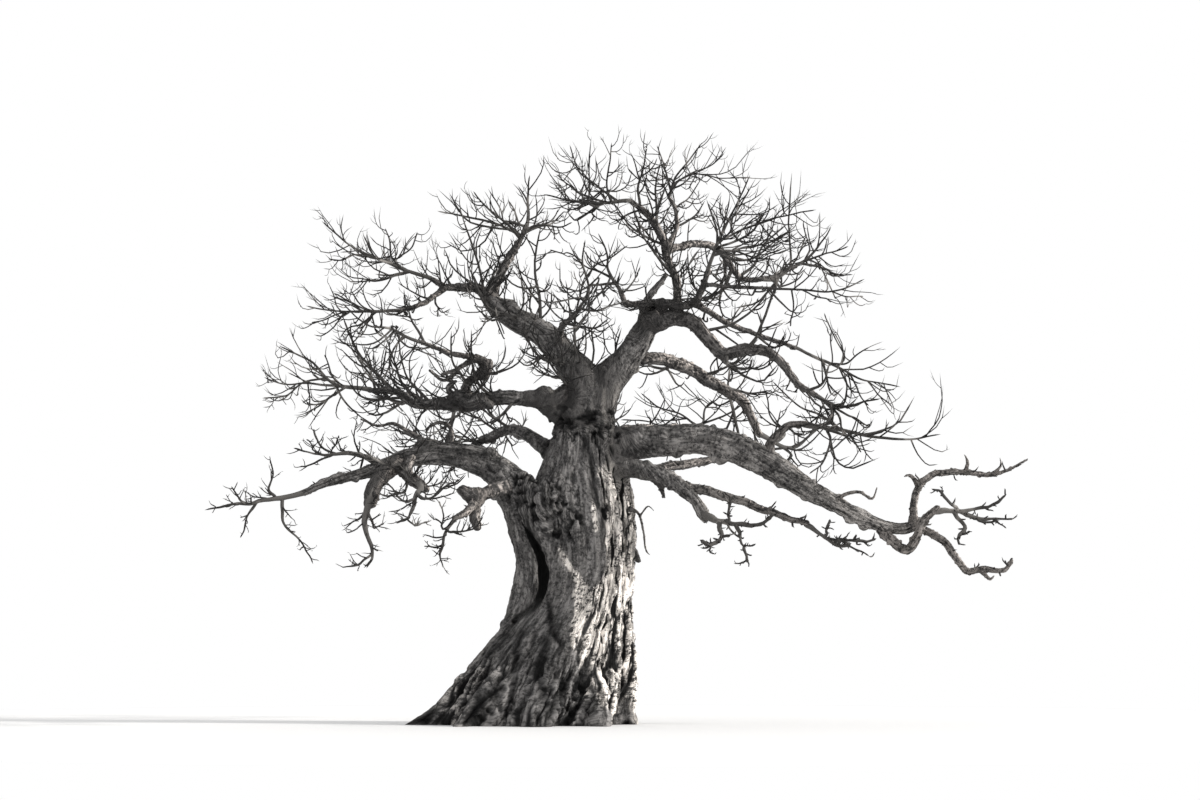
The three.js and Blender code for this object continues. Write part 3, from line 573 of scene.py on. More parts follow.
class Surface:
    """Gathers points and faces and makes one closed mesh of them."""

    def __init__(self) -> None:
        """Starts with nothing."""
        self.points: list[Array] = []
        self.faces: list[Array] = []
        self.girths: list[Array] = []
        self.count = 0

    def add_bars(self, paths: Array, radii: Array, sides: int) -> None:
        """Adds bars along paths, each closed flat at its root and ending in a point.

        Args:
            paths: places, path by path and point by point.
            radii: the radius at each place. The last one isn't used, because the bar ends in a point there.
            sides: how many sides a bar has.
        """
        bars, rings = paths.shape[:2]
        _, side, rise = ways_across(paths)
        turn = np.arange(sides) * math.tau / sides
        out = side[:, :-1, None] * np.cos(turn)[:, None] + rise[:, :-1, None] * np.sin(turn)[:, None]
        walls = paths[:, :-1, None] + out * radii[:, :-1, None, None]
        points = np.concatenate([walls.reshape(bars, -1, 3), paths[:, -1:]], axis=1)
        self.points.append(points.reshape(-1, 3))
        girths = np.concatenate([np.repeat(radii[:, :-1], sides, axis=1), radii[:, -1:]], axis=1)
        self.girths.append(girths.ravel())
        here = np.arange(sides)
        beside = (here + 1) % sides
        ring = (np.arange(rings - 2) * sides)[:, None]
        quads = np.stack([ring + here, ring + beside, ring + sides + beside, ring + sides + here], axis=-1)
        last = (rings - 2) * sides
        tip = np.stack([last + here, last + beside, np.full(sides, last + sides)], axis=-1)
        first = self.count + np.arange(bars)[:, None, None] * points.shape[1]
        for faces in (quads.reshape(-1, 4), tip, here[::-1][None]):
            self.faces.append((first + faces[None]).reshape(-1, faces.shape[1]))
        self.count += bars * points.shape[1]

    def build(self, name: str) -> Piece:
        """Makes the mesh object.

        Args:
            name: what the object is called.

        Returns:
            The object, at the origin.
        """
        mesh = bpy.data.meshes.new(name)
        faces = [face for rows in self.faces for face in rows.tolist()]
        mesh.from_pydata(np.concatenate(self.points).tolist(), [], faces)
        mesh.validate()
        piece = bpy.data.objects.new(name, mesh)
        bpy.context.collection.objects.link(piece)
        return piece


def pick_only(piece: Piece) -> None:
    """Selects one object, and nothing else, and makes it the active one."""
    bpy.ops.object.select_all(action="DESELECT")
    piece.select_set(True)
    bpy.context.view_layer.objects.active = piece


def finish_with(piece: Piece, kind: str, **settings: object) -> None:
    """Gives a piece a modifier of this kind with these settings, and applies it."""
    pick_only(piece)
    bpy.ops.object.modifier_add(type=kind)
    modifier = piece.modifiers[-1]
    for setting, value in settings.items():
        setattr(modifier, setting, value)
    bpy.ops.object.modifier_apply(modifier=modifier.name)


def in_one_skin(piece: Piece, voxel: float) -> None:
    """Joins all that a piece is made of in one closed skin of even faces."""
    finish_with(piece, "REMESH", mode="VOXEL", voxel_size=voxel)


def threes(items: object, key: str) -> Array:
    """Three values of each item of a mesh, one row each."""
    flat = np.empty(len(items) * 3, dtype=np.float32)
    items.foreach_get(key, flat)
    return flat.reshape(-1, 3).astype(float)


def points_of(piece: Piece) -> Array:
    """The places of a piece's points."""
    return threes(piece.data.vertices, "co")


def normals_of(piece: Piece) -> Array:
    """The way out of the surface at each of a piece's points."""
    return threes(piece.data.vertex_normals, "vector")


def place_points(piece: Piece, points: Array, room_below: float = 0.0) -> None:
    """Puts a piece's points in new places, inside the box of the part with some room below it."""
    low, high = (np.array(corner) for corner in CAD_BOX)
    kept = np.clip(points, low - UP * room_below, high).astype(np.float32)
    piece.data.vertices.foreach_set("co", kept.ravel())
    piece.data.update()


def paint(piece: Piece, **layers: Array) -> None:
    """Writes a value for each point, or three, under each name that the finishes read."""
    for name, values in layers.items():
        kind, key = ("FLOAT", "value") if values.ndim == 1 else ("FLOAT_VECTOR", "vector")
        layer = piece.data.attributes.new(name, kind, "POINT")
        layer.data.foreach_set(key, values.astype(np.float32).ravel())


class Axis:
    """The middle line of a limb, walked in short steps, with its radii and the ways along and across."""

    WAVES = 31
    WAVE_SHIFTS = (2.7, 13.1, 29.9)
    WAVE_LENGTH = 4.5
    SHORTEST_WAVE = 0.3

    def __init__(self, limb: Limb, step: float = 0.05, waver: float = 0.0) -> None:
        """Walks the limb from its first station to its last.

        Args:
            limb: the limb.
            step: about how long each step is, in metres.
            waver: how far the line strays from the route, in radii.
        """
        self.step = step
        self.stations = limb.stations()
        self.curve = Curves(self.stations[None])
        last = len(self.stations) - 1
        steps = max(6, round(np.linalg.norm(np.diff(self.stations, axis=0), axis=1).sum() / step))
        self.radii = np.interp(np.linspace(0, last, steps + 1), np.arange(last + 1), limb.girths())
        self.girth = float(self.radii.mean())
        route = self.curve.paths(steps)[0]
        pace = route / max(self.WAVE_LENGTH * self.girth, self.SHORTEST_WAVE)
        waves = Noise(self.WAVES).ways(pace, self.WAVE_SHIFTS)
        self.centres = route + waves * (waver * self.radii)[:, None]
        self.along, self.side, self.rise = (ways[0] for ways in ways_across(self.centres[None]))
        gaps = np.linalg.norm(np.diff(self.centres, axis=0), axis=1)
        self.run = np.concatenate([[0], np.cumsum(gaps)])

    def bar(self, collar: float = 0.0, collar_length: float = 1.0) -> tuple[Array, Array]:
        """A bar along the limb with a round end.

        Args:
            collar: how much its root swells, as a share.
            collar_length: how far the swelling reaches, in radii.

        Returns:
            Its path and its radii, as one row each.
        """
        radii = self.radii * (1 + collar * np.exp(-((self.run / (collar_length * self.radii[0])) ** 2)))
        turns = np.linspace(0, math.pi / 2, 5)[1:]
        cap = self.centres[-1] + self.along[-1] * (radii[-1] * np.sin(turns))[:, None]
        path = np.concatenate([self.centres, cap])
        return path[None], np.concatenate([radii, radii[-1] * np.cos(turns)])[None]

    def end(self) -> tuple[Array, Array, float]:
        """The last centre, the way along there as the part has it, and the last radius."""
        spans = len(self.stations) - 1
        long_span = np.linalg.norm(self.stations[-1] - self.stations[-2]) > LONG_SPAN
        before = (spans - 0.5) / spans if long_span else (spans - 1) / spans
        last = self.curve.at(0, 1.0)
        return last, unit(last - self.curve.at(0, before)), float(self.radii[-1])

    def place(self, points: Array) -> tuple[Array, Array]:
        """Where points lie by this limb.

        Args:
            points: places, one row each.

        Returns:
            How many radii each point is from the middle line, and its place on the bark: two metres-wide
            ways round the limb and the metres along it.
        """
        square = np.sum(self.centres**2, axis=1)
        nearest = np.argmin(square[None] - 2 * points @ self.centres.T, axis=1)
        away = points - self.centres[nearest]
        run, u, v = (np.sum(away * ways[nearest], axis=1) for ways in (self.along, self.side, self.rise))
        flat = np.maximum(np.hypot(u, v), 1e-9)
        past = np.maximum(np.abs(run) - self.step, 0)
        bark = np.stack([u / flat * self.girth, v / flat * self.girth, self.run[nearest] + run], axis=-1)
        return np.hypot(flat, past) / self.radii[nearest], bark


@dataclass
class Column:
    """The column of the trunk, from the ground to the fork."""

    # Height, left edge, right edge, near edge and far edge, in millimetres.
    stations: Rows = (
        (0, -3200, 1450, -2450, 2300), (350, -2870, 1560, -2200, 2050), (900, -2450, 1650, -1950, 1800),
        (1600, -1980, 1690, -1700, 1600), (2300, -1450, 1700, -1520, 1520), (3000, -760, 1720, -1420, 1450),
        (3800, -480, 1780, -1380, 1420), (4600, -500, 1810, -1350, 1400), (5300, -620, 1750, -1290, 1350),
        (5900, -680, 1660, -1180, 1270), (6500, -420, 1500, -1000, 1080), (7100, -130, 1290, -760, 820),
        (7700, 40, 1270, -620, 660), (8250, 260, 1330, -500, 540),
    )
    top: float = 8.25
    below: float = -0.4
    sides: int = 156
    rings: int = 80
    root_ridges: int = 9
    root_depth: float = 0.13
    root_fade: float = 1.1
    root_turn: float = 0.7
    folds: int = 5
    fold_depth: float = 0.035
    fold_turn: float = 2.1
    fold_twist: float = -0.09
    flutes: int = 13
    flute_depth: float = 0.055
    flute_least: float = 0.3
    flute_turn: float = 0.9
    flute_twist: float = 0.06
    bark_radius: float = 1.35
    ease: float = 0.3

    def edges(self, height: Array) -> tuple[Array, Array, Array, Array]:
        """The middle and the half widths, across and back, at some heights."""
        table = np.array(self.stations) * MM
        spread = np.linspace(-self.ease, self.ease, 7)
        weight = np.cos(spread / self.ease * math.pi / 2.6)
        heights = height[..., None] + spread
        rows = (np.interp(heights, table[:, 0], edge) for edge in table[:, 1:].T)
        left, right, near, far = (np.average(row, axis=-1, weights=weight) for row in rows)
        return (left + right) / 2, (near + far) / 2, (right - left) / 2, (far - near) / 2

    def ridge_share(self, turn: Array, height: Array) -> Array:
        """How far the wall stands out or in, as a share of its size: root ridges, folds and flutes."""
        rise = np.maximum(height, 0)
        fade = np.exp(-rise / self.root_fade)
        root = self.root_depth * fade * np.cos(self.root_ridges * turn + self.root_turn)
        fold = self.fold_depth * np.cos(self.folds * (turn + self.fold_twist * rise) + self.fold_turn)
        depth = self.flute_depth * (self.flute_least + (1 - self.flute_least) * (0.5 + 0.5 * np.cos(turn)))
        flute = depth * np.cos(self.flutes * (turn + self.flute_twist * rise) + self.flute_turn)
        return 1 + root + fold + flute

    def out_of_middle(self, points: Array) -> tuple[Array, Array]:
        """How far across and back points lie from the middle, in half widths."""
        x, y, half_x, half_y = self.edges(points[:, 2])
        return (points[:, 0] - x) / half_x, (points[:, 1] - y) / half_y

    def place(self, points: Array) -> tuple[Array, Array]:
        """Where points lie by the column: their reach in half widths, and their place on its bark."""
        u, v = self.out_of_middle(points)
        flat = np.maximum(np.hypot(u, v), 1e-9)
        past = np.maximum(points[:, 2] - self.top, 0) / self.bark_radius
        bark = np.stack([u / flat * self.bark_radius, v / flat * self.bark_radius, points[:, 2]], axis=-1)
        return np.hypot(flat, past), bark

    def model(self) -> Piece:
        """Models the column: a round drawn up ring by ring, then given its outline.

        Returns:
            The column, as one closed mesh that runs on below the ground.
        """
        bpy.ops.object.select_all(action="DESELECT")
        bpy.ops.mesh.primitive_circle_add(vertices=self.sides, radius=1, fill_type="NGON")
        column = just_added("trunk_column")
        rise = (self.top - self.below) / self.rings
        bpy.ops.object.mode_set(mode="EDIT")
        bpy.ops.mesh.select_all(action="SELECT")
        for _ in range(self.rings):
            bpy.ops.mesh.extrude_region_move(TRANSFORM_OT_translate={"value": (0, 0, rise)})
        bpy.ops.mesh.select_all(action="SELECT")
        bpy.ops.mesh.normals_make_consistent(inside=False)
        bpy.ops.object.mode_set(mode="OBJECT")
        u, v, height = points_of(column).T
        height = height + self.below
        x, y, half_x, half_y = self.edges(height)
        share = self.ridge_share(np.arctan2(v, u), height)
        shaped = np.stack([x + u * half_x * share, y + v * half_y * share, height], axis=-1)
        place_points(column, shaped, room_below=1.0)
        return column


@dataclass(frozen=True)
class Relief:
    """Backs and grooves in the bark: how deep, and how long round the limb and along it, in metres."""

    depth: float
    round_length: float
    along_length: float
    layers: int = 2

    def places(self, bark: Array) -> Array:
        """The places on the bark, squeezed so that the waves have these lengths."""
        return bark / np.array([self.round_length, self.round_length, self.along_length])

    def waves(self, noise: Noise, bark: Array, shift: float = 0.0) -> Array:
        """The height of these backs and grooves, from about -1 to 1."""
        return noise.layered(self.places(bark) + shift, self.layers)


@dataclass(frozen=True)
class FrontLine:
    """A line that shows on the front: points across and up where they show, its width and strength."""

    route: Rows
    steps: int = 60

    def strength_at(self, points: Array, normals: Array) -> Array:
        """How strong the line is at each point of the front.

        Args:
            points: places, one row each.
            normals: the way out of the surface at each.

        Returns:
            The strengths, a thousandth of those in the route.
        """
        stations = np.array(self.route) * MM
        knots = np.concatenate([stations[:, :2], np.zeros((len(stations), 1))], axis=1)
        path = Curves(knots[None]).paths(self.steps)[0][:, :2]
        shares = np.linspace(0, len(stations) - 1, self.steps + 1)
        width, strength = (np.interp(shares, np.arange(len(stations)), row) for row in stations[:, 2:].T)
        share = np.linalg.norm(VIEWER.shown(points)[:, None] - path[None], axis=2) / width
        nearest = np.argmin(share, axis=1)
        front = eased(-points[:, 1], 0.0, 0.3) * eased(-normals[:, 1], -0.35, 0.1)
        return strength[nearest] * np.exp(-(share.min(axis=1) ** 2)) * front


def sunlit_and_bleached_share(points: Array, normals: Array) -> Array:
    """How pale bark is: painted sunlight most where it faces the low sun, and real bleaching on the outer
    right limbs.
    """
    # Painted sunlight: paler where the bark faces the low sun.
    painted_sunlight = 0.8 * eased(normals @ np.array([0.94, -0.1, 0.2]), 0.35, 0.95)
    outer = 0.1 * eased(points[:, 0], 1.5, 4.0) + 0.12 * eased(points[:, 0], 4.5, 8.5)
    return 0.04 + np.maximum(painted_sunlight, outer * eased(-points[:, 2], -8.6, -7.6))


def relief_of_limb(noise: Noise, bark: Array, girth: float) -> tuple[Array, Array]:
    """The relief of a limb's bark: lumps, cords along it, wrinkles across it and knots.

    Args:
        noise: the waves to use.
        bark: places on the bark.
        girth: the limb's middling radius.

    Returns:
        How far each point stands out, in metres, and how much of a crest it is, from 0 to 1.
    """
    lumps = Relief(1, girth * 1.5, girth * 2.2, 3).waves(noise, bark)
    cords = noise.ridged(Relief(1, girth * 0.62, girth * 3.6).places(bark) + 7.7)
    wrinkles = Relief(1, girth * 1.4, girth * 0.4, 1).waves(noise, bark, 3.1)
    grain = noise.layered(bark / 0.07 + 9.2, 2)
    knots = np.maximum(noise.at(bark / (girth * 1.15) + 21.4) - 0.38, 0)
    lift = girth * (0.13 * lumps + 0.12 * (cords - 0.6) + 0.035 * wrinkles + 0.95 * knots) + 0.006 * grain
    crest = np.clip(0.3 + 0.46 * cords + 0.1 * wrinkles + 0.12 * lumps + 0.22 * grain, 0, 1)
    return lift, crest


# The strands and roots that run on the column, as the part has them.
STRANDS = (
    Limb("long_strand", (
        (20, 500, -1800, 160), (60, 1200, -1500, 260), (100, 2100, -1240, 290), (140, 3000, -1120, 310),
        (90, 3700, -1030, 310), (-150, 4300, -880, 300), (-500, 4900, -790, 370), (-740, 5450, -680, 390),
        (-1050, 5950, -460, 330), (-1350, 6150, -360, 220),
    )),
    Limb("burr", ((-480, 5000, -960, 220), (-230, 5550, -960, 400), (60, 6200, -740, 240))),
    Limb("left_root", (
        (-1150, 1900, -350, 380), (-2300, 750, -620, 350), (-3300, 130, -740, 200), (-3900, -120, -800, 90),
    )),
    Limb("left_near_root", (
        (-600, 1900, -750, 330), (-1600, 720, -1650, 310), (-2300, 90, -2280, 180), (-2500, -120, -2480, 120),
    )),
    Limb("near_root", ((200, 1500, -1050, 300), (-250, 620, -1880, 280), (-450, -120, -2600, 160))),
    Limb("near_right_root", ((700, 1600, -950, 280), (880, 600, -1550, 250), (1050, -120, -2150, 150))),
    Limb("right_root", ((950, 1500, -250, 320), (1400, 500, -340, 250), (1800, -120, -400, 130))),
    Limb("far_right_root", ((650, 1700, 850, 320), (1050, 500, 1620, 260), (1350, -120, 2200, 150))),
    Limb("far_root", ((-300, 1700, 1000, 350), (-650, 600, 1850, 290), (-850, -120, 2550, 160))),
    Limb("left_far_root", ((-1100, 1700, 550, 380), (-2200, 620, 1150, 310), (-3050, -120, 1700, 150))),
)
# The hollow beside the long strand, a little narrower at its top than the part's.
HOLLOW = Limb("hollow_by_the_strand", (
    (-880, 4900, -900, 35), (-660, 4500, -880, 75), (-420, 4150, -800, 150), (-350, 3650, -790, 170),
    (-370, 3250, -860, 150), (-640, 2860, -960, 100), (-960, 2640, -980, 80), (-1180, 2440, -800, 50),
))
# Folds in the front of the bark, with painted shade in them, each point with its width and depth.
FOLDS = (
    FrontLine(((-930, 5150, 60, 60), (-720, 4700, 70, 120), (-480, 4330, 80, 120))),
    FrontLine((
        (-700, 2850, 60, 60), (-1050, 2560, 70, 110), (-1400, 2100, 80, 150), (-2050, 1300, 100, 140),
        (-2500, 500, 110, 150),
    )),
    FrontLine(((-260, 3150, 60, 120), (-210, 2600, 70, 150), (-160, 2250, 70, 150), (0, 1950, 70, 110))),
    FrontLine(((-300, 2000, 80, 130), (-400, 1500, 90, 180), (-440, 900, 100, 160), (-380, 350, 110, 170))),
    FrontLine((
        (-900, 2250, 70, 110), (-1080, 1500, 90, 170), (-1150, 800, 100, 190), (-1280, 200, 110, 200),
    )),
    FrontLine((
        (-1250, 2150, 70, 100), (-1750, 1250, 90, 150), (-2050, 550, 110, 180), (-2250, 100, 110, 150),
    )),
    FrontLine(((640, 7000, 80, 110), (760, 6500, 90, 150), (830, 5900, 90, 180), (950, 5350, 70, 120))),
    FrontLine(((1080, 6600, 80, 120), (1120, 5600, 70, 110), (1060, 4300, 70, 110), (930, 2600, 80, 110))),
)
# Where pale streaks are painted on the front, each point with its width and strength.
PALE_STREAKS = (
    FrontLine((
        (0, 4300, 60, 900), (120, 4050, 80, 1100), (350, 3700, 90, 1200), (560, 3350, 130, 1200),
        (600, 2900, 170, 1100),
    )),
    FrontLine(((830, 5550, 60, 900), (850, 5150, 70, 1100), (900, 4750, 60, 1000))),
    FrontLine(((580, 3150, 210, 1500), (610, 2400, 200, 1500), (650, 1600, 190, 1300), (640, 700, 160, 900))),
)


class CutPart(Enum):
    """What is cut off the trunk's skin: the piece, the way of the cut, how far, and its nodes."""

    FORK = ("fork_boughs", (0.0, 0.0, 1.0), 8.5, ("left_upper_bough", "right_upper_bough"))
    LEFT = (
        "left_great_boughs", (-0.85, 0.0, 0.527), 4.75,
        ("left_low_bough", "left_back_bough", "left_middle_bough"),
    )
    RIGHT = ("right_great_boughs", (0.9, 0.0, 0.436), 5.25, ("right_low_bough", "right_under_bough"))
    TOP = ("barked_trunk", (0.0, 0.0, 1.0), 2.9, ("trunk",))


def bars_along(axes: list[Axis], name: str, sides: int, *collar: float) -> Piece:
    """A bar along each middle line, all in one object.

    Args:
        axes: the middle lines.
        name: what the object is called.
        sides: how many sides a bar has.
        collar: how much the roots swell, and how far the swelling reaches.

    Returns:
        The object.
    """
    bars = Surface()
    for axis in axes:
        bars.add_bars(*axis.bar(*collar), sides)
    return bars.build(name)


def limbs_named(names: tuple[str, ...]) -> list[Limb]:
    """The limbs with these names, in the order of their table."""
    return [limb for limb in LIMBS if limb.name in names]


@dataclass
class Trunk:
    """The trunk with its great boughs, one skin with the bark's relief."""

    column: Column = field(default_factory=Column)
    voxel: float = 0.029
    smoothings: int = 6
    bar_sides: int = 20
    waver: float = 0.1
    waves: int = 11
    nearness: float = -7.0
    least_reach: float = 0.05
    limb_reach: float = 2.5
    limb_shift: float = 3.7
    limb_roughness: float = 0.5
    swells: Relief = Relief(0.03, 0.9, 3.6)
    shreds: Relief = Relief(0.08, 0.12, 1.7, 3)
    plates: Relief = Relief(0.03, 0.075, 0.4)
    grain: Relief = Relief(0.012, 0.07, 0.16)
    roots: Relief = Relief(0.16, 0.3, 1.5, 3)
    specks: Relief = Relief(0.3, 0.1, 0.3)
    wandering: Relief = Relief(0.22, 0.6, 1.8, 1)
    # How far round towards the right the shredded pale bark, partly painted sunlight, begins, at each height
    # in metres.
    pale_edge: Rows = (
        (0.0, 0.9), (0.9, 0.66), (1.6, 0.4), (2.3, 0.2), (3.0, 0.0), (3.5, 0.3), (5.2, 0.32), (6.4, 0.46),
    )
    # Where bark is knotted into lumps: the middle of each place and how far it reaches, in metres.
    burrs: Rows = (
        (-0.35, -1.1, 5.4, 0.7), (-0.8, -0.8, 5.85, 0.5), (0.1, -1.25, 4.85, 0.55), (-1.6, -1.3, 0.3, 0.9),
        (0.2, -1.9, 0.5, 0.8),
    )
    burr_depth: float = 0.19
    burr_lump: float = 0.2
    neck_height: float = 7.3
    neck_reach: float = 0.42
    neck_depth: float = 0.18
    fold_shade: float = 7.0

    def skin(self, axes: list[Axis]) -> Piece:
        """Models the column with the bars on it in one skin, and cuts the hollow into it."""
        stems = bars_along([*axes, *map(Axis, STRANDS)], "trunk_stems", self.bar_sides)
        column = self.column.model()
        pick_only(column)
        stems.select_set(True)
        bpy.ops.object.join()
        in_one_skin(column, self.voxel)
        hollow = bars_along([Axis(HOLLOW)], "trunk_hollow", self.bar_sides)
        finish_with(column, "BOOLEAN", object=hollow, operation="DIFFERENCE", solver="FAST")
        bpy.data.objects.remove(hollow)
        in_one_skin(column, self.voxel)
        finish_with(column, "SMOOTH", factor=0.5, iterations=self.smoothings)
        return column

    def raise_bark(self, skin: Piece, axes: list[Axis]) -> None:
        """Raises the bark's relief on the skin, and paints what the finish reads."""
        noise = Noise(self.waves)
        points, normals = points_of(skin), normals_of(skin)
        reach, bark = self.column.place(points)
        total = np.maximum(reach, self.least_reach) ** self.nearness
        lift, crest, weather, rough = self.column_relief(noise, points, normals, bark) * total
        place = bark * total[:, None]
        for k, axis in enumerate(axes):
            reach, bark = axis.place(points)
            near = np.nonzero(reach < self.limb_reach)[0]
            weight = reach[near] ** self.nearness
            spot = bark[near] + self.limb_shift * k
            limb_lift, limb_crest = relief_of_limb(noise, spot, axis.girth)
            lift[near] += limb_lift * weight
            crest[near] += limb_crest * weight
            weather[near] += sunlit_and_bleached_share(points[near], normals[near]) * weight
            rough[near] += self.limb_roughness * weight
            place[near] += spot * weight[:, None]
            total[near] += weight
        lift /= total
        crest = np.clip(crest / total, 0, 1)
        lift, crest, knotty = self.knotted(noise, points, lift, crest)
        crest *= 1 - 0.2 * eased(-points[:, 0], 0.9, 2.2) * eased(points[:, 2], 5.2, 6.2)
        inside = 1 - eased(Axis(HOLLOW).place(points)[0], 0.95, 1.3)
        lift *= 1 - 0.8 * inside
        # Painted shade deep in the hollow.
        crest *= 1 - 0.97 * inside * eased(points[:, 2], 2.3, 3.3)
        moved = points + normals * lift[:, None]
        for fold in FOLDS:
            depth = fold.strength_at(points, normals)
            moved[:, 1] += depth
            # Painted shade in the folds.
            crest /= 1 + depth * self.fold_shade
        place_points(skin, moved, room_below=1.0)
        # The pale mask painted here is pale bark with painted sunlight and painted rim light on it.
        paint(
            skin, way_out=normals_of(skin), crest=crest, weather=np.clip(weather / total, 0, 1),
            rough=np.clip(rough / total + knotty, 0, 1), bark_place=place / total[:, None],
        )
        LOG.info("trunk relief from %.3f to %.3f m", lift.min(), lift.max())

    def column_relief(self, noise: Noise, points: Array, normals: Array, bark: Array) -> Array:
        """The relief of the column: swells, shreds, plates and the foot's folds.

        Args:
            noise: the waves to use.
            points: places, one row each.
            normals: the way out of the surface at each.
            bark: their places on the bark.

        Returns:
            How far each point stands out, how much of a crest it is, how pale (pale bark, painted sunlight and
            painted rim light) and how rough, one row each.
        """
        across, _, height = points.T
        facing = bark[:, 0] / self.column.bark_radius
        wander = self.wandering.waves(noise, bark, 4.4)
        edge = np.interp(height, *zip(*self.pale_edge))
        right = eased(facing + self.wandering.depth * wander, edge - 0.12, edge + 0.12)
        foot = eased(-height, -2.6, -0.8)
        back = eased(normals[:, 1], 0.1, 0.7)
        streak = sum(line.strength_at(points, normals) for line in PALE_STREAKS)
        rough = np.maximum.reduce([right, 0.75 * foot, 0.6 * back]) * (1 - 0.7 * np.clip(streak, 0, 1))
        rough = np.clip(0.14 + 0.86 * rough, 0, 1)
        warp = bark + 0.07 * noise.ways(bark / 0.5, (1.3, 8.1, 15.2))
        swells = self.swells.waves(noise, warp)
        shreds = self.shreds.waves(noise, warp, 2.2)
        plates = self.plates.waves(noise, warp, 5.5)
        grain = self.grain.waves(noise, bark, 8.8)
        torn = eased(shreds + 0.6 * plates, -0.5, 0.15)
        lift = self.swells.depth * swells
        lift += self.shreds.depth * (torn - 0.7) * (0.1 + 0.9 * rough)
        lift += self.plates.depth * plates * (0.15 + 0.85 * rough)
        lift += self.grain.depth * grain
        smooth = np.clip(0.56 + 0.15 * swells + 0.2 * grain + 0.15 * shreds, 0.2, 1)
        crest = smooth + (torn - smooth) * rough
        roots = eased(self.roots.waves(noise, bark, 17.5), -0.8, 0.2)
        # Painted rim light: pale colour on the root ridges along the foot's left edge.
        painted_rim_light = 0.34 * foot * roots**2 * eased(-across, 1.1, 1.9)
        deep = eased(-height, -3.4, -1.8) * np.exp(-(((across + 0.35) / 0.62) ** 2)) * (normals[:, 1] < 0)
        lift += foot * self.roots.depth * (roots - 0.6)
        # Painted shade in the grooves between the roots, and darker bark in the low middle of the front.
        crest *= (1 - 0.7 * foot * (1 - roots)) * (1 - 0.5 * deep)
        # Pale bark on the side facing the sun, partly painted sunlight.
        pale = right * eased(-height, -6.9, -5.9) * np.clip(0.9 + 0.4 * wander, 0, 1)
        specks = self.specks.depth * self.specks.waves(noise, bark, 27.1)
        # Pale mask: pale bark, the pale streaks and specks, with painted sunlight on the sunny side.
        bare = eased(np.maximum(pale, streak) + specks, 0.35, 0.65)
        return np.stack([lift, crest, np.clip(0.04 + 0.96 * np.maximum(bare, painted_rim_light), 0, 1), rough])

    def knotted(self, noise: Noise, points: Array, lift: Array, crest: Array) -> tuple[Array, Array, Array]:
        """Raises the lumps of the burrs and the rolls of the neck, with painted shade between them.

        Args:
            noise: the waves to use.
            points: places, one row each.
            lift: how far each point stands out so far.
            crest: how much of a crest each is so far.

        Returns:
            The new lift and crest, and how knotty each point is.
        """
        burr = np.zeros(len(points))
        for *centre, reach in self.burrs:
            away = np.linalg.norm(points - np.array(centre), axis=1) / reach
            burr = np.maximum(burr, np.exp(-(away**2)))
        by_column = eased(-np.hypot(*self.column.out_of_middle(points)), -1.5, -1.25)
        neck = np.exp(-(((points[:, 2] - self.neck_height) / self.neck_reach) ** 2)) * by_column
        lumps = eased(noise.layered(points / self.burr_lump + 6.6), -0.75, 0.25)
        rolls = eased(noise.layered(points / np.array([0.3, 0.3, 0.19]) + 12.5), -0.75, 0.25)
        lift = lift + burr * self.burr_depth * (lumps - 0.55) + neck * self.neck_depth * (rolls - 0.55)
        # Painted shade in the crevices between the lumps and the rolls.
        for share, backs in ((burr, lumps), (neck, rolls)):
            crest = crest * (1 - np.clip(1.4 * share, 0, 0.9) * (1 - backs))
        return lift, crest, np.maximum(burr, neck)

    def build(self) -> list[tuple[Piece, tuple[str, ...]]]:
        """Builds the trunk with its great boughs.

        Returns:
            Each finished piece with the names of the nodes that it stands for.
        """
        great_boughs = tuple(name for part in CutPart for name in part.value[3])
        axes = [Axis(limb, waver=self.waver) for limb in (*limbs_named(great_boughs), *TRUNK_STUBS)]
        trunk = self.skin(axes)
        self.raise_bark(trunk, axes)
        trunk.name = "barked_foot"
        cut_flat(trunk, UP, 0.0)
        pieces = []
        for part in CutPart:
            name, way, distance, nodes = part.value
            piece = copy_of(trunk, name)
            cut_flat(piece, way, distance)
            cut_flat(trunk, -np.array(way), -distance)
            pieces.append((piece, nodes))
        pieces.append((trunk, ("trunk",)))
        for piece, _ in pieces:
            shade_as_one(piece)
        return pieces


def cut_flat(piece: Piece, way: tuple[float, ...] | Array, distance: float) -> None:
    """Cuts a piece flat across a way, this far along it, and closes the cut. What comes before it goes."""
    normal = Vector(way).normalized()
    pick_only(piece)
    bpy.ops.object.mode_set(mode="EDIT")
    bpy.ops.mesh.select_all(action="SELECT")
    bpy.ops.mesh.bisect(plane_co=normal * distance, plane_no=normal, use_fill=True, clear_inner=True)
    bpy.ops.object.mode_set(mode="OBJECT")


def just_added(name: str) -> Piece:
    """The object that was added last, now under this name."""
    piece = bpy.context.active_object
    piece.name = name
    return piece


def copy_of(piece: Piece, name: str) -> Piece:
    """A copy of a piece under another name, with a mesh of its own."""
    pick_only(piece)
    bpy.ops.object.duplicate(linked=False)
    return just_added(name)


def shade_as_one(piece: Piece) -> None:
    """Shades a piece as it was before its cuts, so that no cut shows, and each cut itself flat."""
    mesh = piece.data
    mesh.shade_smooth()
    corners = np.empty(len(mesh.loops), dtype=np.int32)
    mesh.loops.foreach_get("vertex_index", corners)
    ways = unit(threes(mesh.attributes["way_out"].data, "vector"))[corners]
    for face in mesh.polygons:
        if len(face.vertices) > CUT_CORNERS:
            ways[list(face.loop_indices)] = face.normal
    mesh.normals_split_custom_set(ways.tolist())
    mesh.attributes.remove(mesh.attributes["way_out"])


